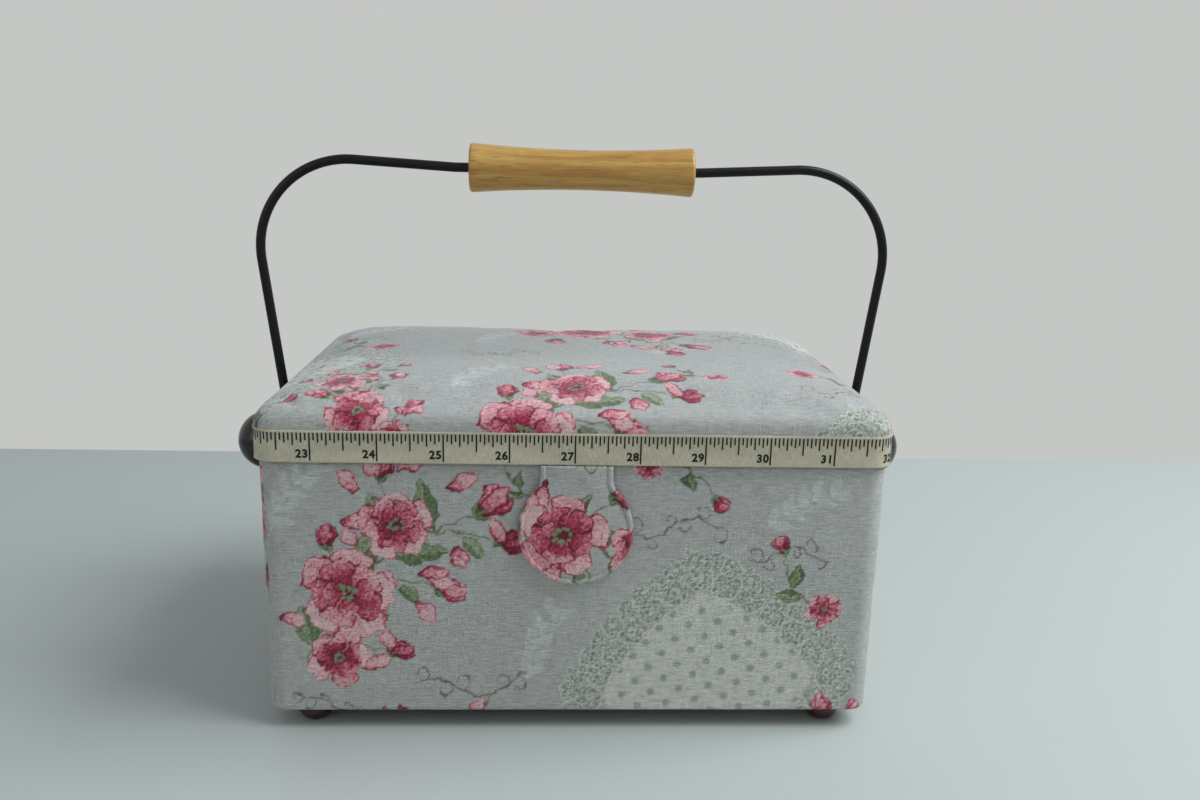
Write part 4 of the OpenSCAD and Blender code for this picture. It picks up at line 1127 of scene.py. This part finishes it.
def tape_end(outline):
    """The tape's folded end, which laps over its start behind."""
    joint = outline.length / 2
    s = joint + np.linspace(-TAPE_LAP / 2, TAPE_LAP / 2, 30)[None, :]
    outer = RIBBON_T - 0.05
    low, high = TAPE_LAP_Z
    section = np.array([(0, low), (outer - 0.15, low), (outer, low + 0.3), (outer, (low + high) / 2),
                        (outer, high - 0.3), (outer - 0.15, high), (0, high)])
    u, v = np.broadcast_arrays(s, section[:, 1:])
    thin = np.clip((TAPE_LAP / 2 - np.abs(s - joint)) / 0.8, 0.2, 1) ** 0.5
    xy, _ = outline.at(u, section[:, :1] * thin)
    points = np.concatenate([xy, (v + LID_Z)[..., None]], -1)
    mesh = write_mesh("tape_lap", points, grid_quads(*u.shape, wrap_rows=True), end_caps(*u.shape),
                      np.stack([u, v], -1))
    lap = place(new_object("tape_lap", mesh, TAPE), "lid", "ribbon")


def tape_ticks(outline):
    """The scale's ticks, sixteen to the inch, by Geometry Nodes."""
    tree, sockets = tick_tree()
    pitch = INCH / TICKS_TO_INCH
    middle = SCALE_AT_MIDDLE * TICKS_TO_INCH
    first = math.ceil(middle % 1 - outline.length / 2 / pitch) + 1 + math.floor(middle)
    piece = new_object("tape_ticks", bpy.data.meshes.new("tape_ticks"))
    maker = piece.modifiers.new("ticks", "NODES")
    maker.node_group = tree
    values = {"First": first, "Count": int(outline.length / pitch) - 1, "Pitch": pitch, "Width": TICK_W,
              "Thickness": INK_T, "Ink": TAPE_INK}
    for name, value in values.items():
        maker[sockets[name]] = value
    apply_modifiers(piece)
    piece.data.transform(Matrix.Translation((-SCALE_AT_MIDDLE * INCH, 0, LID_TOP_Z - TICK_TOP)))
    wrap_on_ribbon(piece.data, outline)
    place(piece, "lid", "ribbon")


def tape_numbers(outline):
    """Plain inch numbers, each on the left of its tick, cut into strips that can follow the tape."""
    edit = bmesh.new()
    reach = outline.length / 2 / INCH
    for value in range(math.ceil(SCALE_AT_MIDDLE - reach + 0.3), math.floor(SCALE_AT_MIDDLE + reach) + 1):
        text = bpy.data.curves.new("number", "FONT")
        text.body = str(value)
        text.size = DIGIT_SIZE
        text.align_x = "RIGHT"
        text.offset = DIGIT_WEIGHT
        text.space_character = DIGIT_SPACING
        text.extrude = INK_T / 2
        text.resolution_u = 3
        writer = new_object("number", text)
        mesh = evaluated_mesh(writer)
        bpy.data.objects.remove(writer)
        right = (value - SCALE_AT_MIDDLE) * INCH - TICK_W / 2 - DIGIT_GAP
        upright = Matrix.Rotation(math.pi / 2, 4, "X")
        mesh.transform(Matrix.Translation((right, 0, LID_Z + DIGIT_UP)) @ upright)
        number = bmesh.new()
        number.from_mesh(mesh)
        for cut in np.arange(right - NUMBER_W, right, NUMBER_CUT):
            geometry = number.verts[:] + number.edges[:] + number.faces[:]
            bmesh.ops.bisect_plane(number, geom=geometry, plane_co=(cut, 0, 0), plane_no=(1, 0, 0))
        number.to_mesh(mesh)
        number.free()
        wrap_on_ribbon(mesh, outline)
        edit.from_mesh(mesh)
    mesh = bpy.data.meshes.new("tape_numbers")
    edit.to_mesh(mesh)
    edit.free()
    mesh.materials.clear()
    tidy(mesh)
    place(new_object("tape_numbers", mesh, TAPE_INK), "lid", "ribbon")


# Tab


TAB_JOIN_X = TAB_NECK_W / 2 + TAB_FILLET_R
TAB_JOIN_Z = math.sqrt((TAB_R + TAB_FILLET_R) ** 2 - TAB_JOIN_X ** 2)
TAB_JOIN_TURN = math.atan2(TAB_JOIN_Z, TAB_JOIN_X)
TAB_SWELL, TAB_SWELL_W = 1.45, 7.0


def tab_path(inset):
    """The tab's edge from the ribbon round the end and back, drawn in by some distance."""
    radius, fillet = TAB_R - inset, TAB_FILLET_R + inset
    round_end = arc((0, 0), radius, math.pi - TAB_JOIN_TURN, TAU + TAB_JOIN_TURN, 90)
    right = arc((TAB_JOIN_X, TAB_JOIN_Z), fillet, math.pi + TAB_JOIN_TURN, math.pi, 14)
    top = TAB_TOP_Z - TAB_CENTRE_Z
    neck = np.array([[TAB_JOIN_X - fillet, z] for z in np.linspace(TAB_JOIN_Z, top, 12)[1:]])
    half = np.concatenate([right[1:], neck])
    return np.concatenate([half[::-1] * [-1, 1], round_end, half]) + [0, TAB_CENTRE_Z]


def tab_half_width(z, inset):
    """Half the tab's width at a height over the middle of its round end."""
    radius, fillet = TAB_R - inset, TAB_FILLET_R + inset
    meet = radius * math.sin(TAB_JOIN_TURN)
    disc = np.sqrt(np.maximum(radius ** 2 - z ** 2, 0))
    hollow = TAB_JOIN_X - np.sqrt(np.maximum(fillet ** 2 - (z - TAB_JOIN_Z) ** 2, 0))
    return np.where(z < meet, disc, np.where(z < TAB_JOIN_Z, hollow, TAB_JOIN_X - fillet))


def tab_print(x, z):
    """Colour of the print at points on the tab, from the middle of its round end."""
    return print_colour(x + TAB_PRINT[0], z + TAB_PRINT[1])


def tab_pad():
    """The closing tab: a thin pad inside its piped edge."""
    inset = 1.6 * PIPING_R
    radius = TAB_R - inset
    low_turn = np.linspace(0.02, math.pi / 2, 60)
    neck = np.linspace(0, TAB_TOP_Z - TAB_CENTRE_Z, 90)
    heights = np.concatenate([-radius * np.cos(low_turn), neck[1:]])[:, None]
    half = tab_half_width(heights, inset)
    x = np.linspace(-1, 1, 141)[None, :] * half
    z = np.broadcast_to(heights, x.shape)
    depth = np.where(z < radius * math.sin(TAB_JOIN_TURN), radius - np.hypot(x, z), half - np.abs(x))
    swell = 1 - (1 - np.clip(depth / TAB_SWELL_W, 0, 1)) ** 2
    front = PIPING_Y - 0.2 - TAB_SWELL * np.sqrt(swell) - 0.1 * waves(x, z, 11, 14) * swell
    back = TAB_BACK_Y - 0.05 - 0.8 * (1 - np.clip(depth / 3, 0, 1)) ** 2
    faces = [np.stack([x, y, z + TAB_CENTRE_Z], -1).reshape(-1, 3) for y in (front, back)]
    ring = border(*x.shape)
    other = ring + x.size
    rim = np.stack([ring, other, np.roll(other, -1), np.roll(ring, -1)], -1)
    quads = grid_quads(*x.shape)
    uv = np.stack([x, z], -1).reshape(-1, 2)
    colour = tab_print(x, z).reshape(-1, 3)
    quads = np.concatenate([quads, quads[:, ::-1] + x.size, rim])
    mesh = write_mesh("tab_pad", np.concatenate(faces), quads, (), np.concatenate([uv, uv]),
                      np.concatenate([colour, colour]))
    pad = place(new_object("tab_pad", mesh, PRINTED), "tab", "printed_cloth", "tab_cloth")


def tab_cord():
    """The tab's piped edge, in cloth cut on the bias."""
    path = tab_path(PIPING_R)
    sides = 20
    points, quads, caps = flat_tube(path, PIPING_Y, PIPING_R, PIPING_R, sides)
    run = run_along(path)[:, None]
    round_ = np.arange(sides) / sides * TAU * PIPING_R
    bias = np.stack([run + round_, round_ - run], -1) / math.sqrt(2)
    colour = tab_print(points[..., 0], points[..., 2] - TAB_CENTRE_Z)
    mesh = write_mesh("tab_cord", points, quads, caps, bias, colour)
    place(new_object("tab_cord", mesh, PRINTED), "tab", "printed_cloth", "tab_piping")


# Handle


def wire_path():
    """The wire's middle line from the right eye to the middle of the grip."""
    arm_x = EYE_X - EYE_T / 2 + WIRE_R
    arm_z = PIVOT_Z + KNOB_NECK_R + RUN_GAP + WIRE_R * math.sin(ARM_LEAN)
    kink_x = GRIP_L / 2 + WIRE_STRAIGHT
    rise_x = kink_x + KINK_R * math.tan(TOP_RISE / 2)
    arm_side = BEND_R - math.cos(ARM_LEAN) * arm_x + math.sin(ARM_LEAN) * arm_z
    top_side = BEND_R + math.sin(TOP_RISE) * rise_x - math.cos(TOP_RISE) * GRIP_Z
    det = math.cos(ARM_LEAN + TOP_RISE)
    bend_x = (-math.cos(TOP_RISE) * arm_side - math.sin(ARM_LEAN) * top_side) / det
    bend_z = (-math.cos(ARM_LEAN) * top_side - math.sin(TOP_RISE) * arm_side) / det
    bend = arc((bend_x, bend_z), BEND_R, -ARM_LEAN, math.pi / 2 + TOP_RISE, 40)
    kink = arc((kink_x, GRIP_Z + KINK_R), KINK_R, -math.pi / 2 + TOP_RISE, -math.pi / 2, 6)
    arm = np.linspace([arm_x, arm_z], bend[0], 40)[:-1]
    top = np.linspace(bend[-1], kink[0], 16)[1:-1]
    middle = np.linspace(kink[-1], [0, GRIP_Z], 8)[1:]
    return np.concatenate([arm, bend, top, kink, middle])


def handle():
    """Enamelled wire from eye to eye, with its ends flattened into the eyes."""
    half = wire_path()
    path = np.concatenate([half, half[-2::-1] * [-1, 1]])
    run = run_along(path)
    flat = np.clip(1 - np.minimum(run, run[-1] - run) / FLATTEN_L, 0, 1) ** 1.5
    across, thick = WIRE_R - flat * (WIRE_R - EYE_T / 2), WIRE_R + flat * FLATTEN_W
    mesh = write_mesh("wire", *flat_tube(path, 0, across, thick, 28))
    place(new_object("wire", mesh, ENAMEL), "handle", "wire_enamel", "handle_wire")
    for side, name in ((1, "right_eye"), (-1, "left_eye")):
        piece = lathe(name, eye_section() * [side, 1], (side * EYE_X, 0, PIVOT_Z), ENAMEL)
        place(piece, "handle", "wire_enamel")


def eye_section():
    """Closed section of an eye: a flat ring with eased edges."""
    t = EYE_T / 2 - EYE_EASE
    corners = [(t, EYE_R - EYE_EASE), (-t, EYE_R - EYE_EASE), (-t, EYE_BORE_R + EYE_EASE),
               (t, EYE_BORE_R + EYE_EASE)]
    turns = [k * math.pi / 2 for k in range(5)]
    ring = np.concatenate([arc(c, EYE_EASE, turns[k], turns[k + 1], 5) for k, c in enumerate(corners)])
    return np.concatenate([ring, ring[:1]])


def grip():
    """The turned grip: a waisted body with eased ends, flat faces and a bore for the wire."""
    half = GRIP_L / 2
    sag = GRIP_END_R - GRIP_WAIST_R
    arc_r = (half ** 2 + sag ** 2) / (2 * sag)
    x = np.linspace(-half + GRIP_EASE, half - GRIP_EASE, 50)
    body = np.column_stack([x, GRIP_WAIST_R + arc_r - np.sqrt(arc_r ** 2 - x ** 2)])
    edge = body[-1][1] - GRIP_EASE
    corner = arc((half - GRIP_EASE, edge), GRIP_EASE, math.pi / 2, 0, 7)[1:]
    face = [(half, r) for r in np.linspace(edge, GRIP_BORE_R + 0.5, 6)[1:]]
    mouth = [(half - 0.15, GRIP_BORE_R + 0.15), (half - 0.5, GRIP_BORE_R)]
    right = np.concatenate([corner, face, mouth])
    left = right[::-1] * [-1, 1]
    section = np.concatenate([left, body, right, left[:1]])
    piece = lathe("grip", section, (GRIP_X, 0, GRIP_Z), WOOD, 96)
    place(piece, "grip", "grip_wood", "handle_grip")


# Linings and pads inside


LINING_T = 0.8
GATHER_W = 6.5
GATHER_DEPTH = 0.3
CARD_GAP = 0.3
CARD_SHAPE = (6.0, 2.5)


def wall_lining():
    """Satin round the inside of the walls, glued at its edges and lightly gathered."""
    low, high = lining_low, lining_high
    outline = Outline((high - low)[0], (high - low)[1], 1.6)
    columns = int(outline.length / 0.7)
    heights = np.linspace(low[2], high[2], 30)[:, None]
    s = np.arange(columns)[None, :] * outline.length / columns
    u, v = np.broadcast_arrays(s, heights)
    ring = TAU * u / outline.length
    around = outline.length / TAU
    fold = waves(around * np.cos(ring), around * np.sin(ring) + 0.06 * v, 61, GATHER_W, 40)
    hold = np.clip(np.minimum(v - low[2], high[2] - v) / 6, 0, 1)
    inner = -LINING_T + GATHER_DEPTH * hold * np.clip(fold, -1.6, 1.6) + 0.1
    outer_xy, _ = outline.at(u, 0)
    inner_xy, _ = outline.at(u, inner)
    outer = np.concatenate([outer_xy, v[..., None]], -1)
    inner = np.concatenate([inner_xy, v[..., None]], -1)
    points = np.concatenate([inner, outer[::-1]])
    mesh = write_mesh("lining", points, grid_quads(len(points), columns, True, True))
    lining = place(new_object("lining", mesh, SATIN), "box", "satin_lining", "wall_lining")
    middle = inner[len(inner) // 2]
    gathered = np.linalg.norm(np.diff(np.concatenate([middle, middle[:1]]), axis=0), axis=1).sum()


def soft_card(name, low, high, radius, rise, shape, body, material, slot, nodes, uneven, upward=True,
              gather=0.0):
    """A card or pad in cloth with a crowned face, uneven filling and perhaps gathers along its edge."""
    width, depth, height = high - low
    middle = (low + high) / 2
    across, up = (even_steps(size, rise, *shape, 91 if gather else 61) for size in (width, depth))
    x, y, out = plan_grid(width, depth, radius, across, up)
    z = crown(x, y, out, width, depth, rise, *shape)
    z = z - uneven * (1 + np.clip(waves(x, y, 71, 26), -1, 1)) * np.clip((1 - out) / 0.2, 0, 1)
    way = np.arctan2(y / depth, x / width) * (width + depth) / TAU
    pull = np.clip((1 - out) / 0.06, 0, 1) * np.clip((out - 0.45) / 0.5, 0, 1) ** 2
    z = z - gather * pull * (1 + np.clip(waves(2 * way, 6 * out, 72, 7.5), -1, 1))
    turn = 1 if upward else -1
    base = low[2] if upward else high[2]
    points = np.stack([x + middle[0], (y * turn) + middle[1], base + turn * (height - rise + z)], -1)
    card = crowned(name, refine(points, 3), base, material)
    place(card, body, slot, *nodes)


def inner_pads():
    """The padded floor card, the lid's satin panel and the pincushion on it."""
    low, high = span("floor_card")
    edge = np.array([CARD_GAP, CARD_GAP, 0])
    soft_card("floor_pad", low + edge, high - edge, 3.0, 0.9, CARD_SHAPE, "box", SATIN, "satin_lining",
              ["floor_card"], 0.1)
    low, high = span("lid_lining")
    edge = np.array([LINING_T + 0.6, LINING_T + 0.6, 0])
    top = high - edge - (0, 0, LINING_T - 0.05)
    under = np.array([*(low + edge)[:2], top[2] - 1.3])
    soft_card("lid_satin", under, top, 4.0, 1.0, CARD_SHAPE, "lid", SATIN, "satin_lining", [], 0.22,
              False)
    low, high = span("pincushion")
    soft_card("pincushion_pad", low, high, 10.0, (high - low)[2] - 1.0, (2.3, 1.7), "lid", PIN_CLOTH,
              "pincushion_cloth", ["pincushion"], 0.12, False, 0.55)


# Pivots, feet and screws


def knobs():
    """Ball knobs, flat on their inner side, on short necks."""
    nose = knob_high[0]
    ball_x = nose - KNOB_R
    flat_x = ball_x - KNOB_FLAT
    neck_x = flat_x - KNOB_NECK_L
    rim_r = math.sqrt(KNOB_R ** 2 - KNOB_FLAT ** 2)
    ball = arc((ball_x, 0), KNOB_R, math.acos(-KNOB_FLAT / KNOB_R) - 0.06, 0.0, 40)
    section = np.array([(neck_x, KNOB_BORE_R), (neck_x, KNOB_NECK_R - 0.5), (neck_x + 0.5, KNOB_NECK_R),
                        (flat_x - 0.6, KNOB_NECK_R), (flat_x, KNOB_NECK_R + 0.6), (flat_x, rim_r - 1.2),
                        (flat_x + 0.25, rim_r - 0.35), *ball[:-1], (nose, 0.01)])
    for side, name in ((1, "right_knob"), (-1, "left_knob")):
        piece = lathe(name, section * [side, 1], (0, 0, PIVOT_Z), KNOB, 80)
        place(piece, "box", "knob_plastic", "pivot_knobs")


# Rigid pieces: name, CAD nodes, body, material, slot, width of the eased edge and its steps
SMALL_PARTS = [
    ("boards", ["base_board", "front_panel", "back_panel", "left_panel", "right_panel"], "box", BOARD,
     "fibreboard", 0.3, 1),
    ("base_covering", ["base_cloth"], "box", BLACK_CLOTH, "base_paper", 0.2, 1),
    ("tray_rests", ["tray_ledges"], "box", SATIN, "satin_lining", 0.8, 3),
    ("spacers", ["pivot_spacers"], "box", KNOB, "knob_plastic", 0.5, 3),
    ("bushes", ["pivot_bushes"], "box", ZINC, "zinc", 0.2, 2),
    ("pivot_bolts", ["pivot_screws", "pivot_washers"], "box", ZINC, "zinc", 0.3, 2),
    ("glides", ["feet"], "box", FOOT, "foot_plastic", 0.5, 3),
    ("glide_screws", ["foot_screws"], "box", ZINC, "zinc", 0.15, 1),
    ("keeper", ["keeper_disc"], "box", ZINC, "zinc", 0.15, 1),
    ("hinge_lower_leaves", ["hinge_body_leaves", "hinge_pins"], "box", NICKEL, "hinge_metal", 0.2, 2),
    ("hinge_lower_screws", ["hinge_body_screws"], "box", ZINC, "zinc", 0.15, 2),
    ("hinge_upper_leaves", ["hinge_lid_leaves"], "lid", NICKEL, "hinge_metal", 0.2, 2),
    ("hinge_upper_screws", ["hinge_lid_screws"], "lid", ZINC, "zinc", 0.15, 2),
    ("lid_boards", ["lid_board", "lid_rim_strips"], "lid", BOARD, "fibreboard", 0.3, 1),
    ("lid_turned_cloth", ["lid_edge_cloth"], "lid", TURNED, "printed_cloth", 0.3, 2),
    ("lid_inner", ["lid_lining"], "lid", SATIN, "satin_lining", 0.3, 2),
    ("tab_board", ["tab_stiffener"], "tab", BOARD, "fibreboard", 0.2, 1),
    ("magnet", ["tab_magnet"], "tab", ZINC, "magnet_metal", 0.2, 2),
    ("organiser", ["tray"], "tray", IVORY, "tray_plastic", 0.4, 3),
]


def small_parts():
    """Rigid pieces whose shape is right in the solids, with softened edges."""
    for part in SMALL_PARTS:
        eased(*part)


# Stage, light and camera


# Screen colours of the floor, the wall as the camera sees it, and the light from all round
FLOOR_RGB, WALL_RGB, SKY_RGB = (190, 195, 189), (197, 199, 197), (219, 231, 241)
SKY_STRENGTH = 0.42


def stage():
    """A pale floor that ends behind the box, as a table does, in soft light from all round."""
    back, near, wide = 310.0, -1500.0, 2400.0
    points = [(-wide, near, 0), (wide, near, 0), (wide, back, 0), (-wide, back, 0)]
    mesh = write_mesh("floor", points, [[0, 1, 2, 3]], smooth=False)
    new_object("floor", mesh, moulding("floor_paint", FLOOR_RGB, 0.5, 0.01, 0.02))
    world = bpy.data.worlds.new("studio")
    bpy.context.scene.world = world
    world.use_nodes = True
    tree = world.node_tree
    light = tree.nodes["Background"]
    light.inputs["Color"].default_value = (*linear(SKY_RGB), 1)
    light.inputs["Strength"].default_value = SKY_STRENGTH
    shown = add(tree, "Background", {"Color": (*linear(WALL_RGB), 1)})
    rays = tree.nodes.new("ShaderNodeLightPath").outputs
    seen = math_of(tree, "MAXIMUM", rays["Is Camera Ray"], rays["Is Glossy Ray"])
    mix = add(tree, "MixShader", {"Fac": seen, 1: light.outputs[0], 2: shown})
    tree.links.new(mix, tree.nodes["World Output"].inputs["Surface"])


def lamp(name, place_m, size_m, watts, colour):
    """A soft lamp aimed at the box."""
    data = bpy.data.lights.new(name, "AREA")
    data.shape = "RECTANGLE"
    data.size, data.size_y = size_m
    data.energy = watts
    data.color = colour
    light = new_object(name, data)
    light.location = place_m
    aim = Vector((0, 0, 0.1)) - light.location
    light.rotation_euler = aim.to_track_quat("-Z", "Y").to_euler()


def lights():
    """A window high on the right and a weak fill from the front left."""
    lamp("window", (0.77, -0.17, 0.98), (0.8, 0.8), 13.4, (0.92, 0.99, 1.05))
    lamp("fill", (-1.2, -1.2, 0.8), (1.4, 1.0), 2.5, (0.96, 1.0, 0.99))


def camera():
    """The camera fitted to the photo: place, heading, tilt and roll."""
    way, tilt, roll = math.radians(2.85), math.radians(13.64), math.radians(1.46)
    ahead = Vector((math.sin(way) * math.cos(tilt), math.cos(way) * math.cos(tilt), -math.sin(tilt)))
    side = Vector((math.cos(way), -math.sin(way), 0))
    up = side.cross(ahead)
    right = math.cos(roll) * side + math.sin(roll) * up
    top = -math.sin(roll) * side + math.cos(roll) * up
    data = bpy.data.cameras.new("camera")
    data.sensor_width = 36
    data.lens = 31.49
    data.clip_start, data.clip_end = 0.01, 50
    view = new_object("camera", data)
    turn = Matrix((right, top, -ahead)).transposed().to_4x4()
    view.matrix_world = Matrix.Translation((-0.01115, -0.4765, 0.2356)) @ turn
    bpy.context.scene.camera = view


bpy.context.scene.view_settings.view_transform = "Standard"
for make in (camera, stage, lights, body_cloth, lid_pad, ribbon, tab_pad, tab_cord, handle, grip, wall_lining,
             inner_pads, knobs, small_parts):
    make()
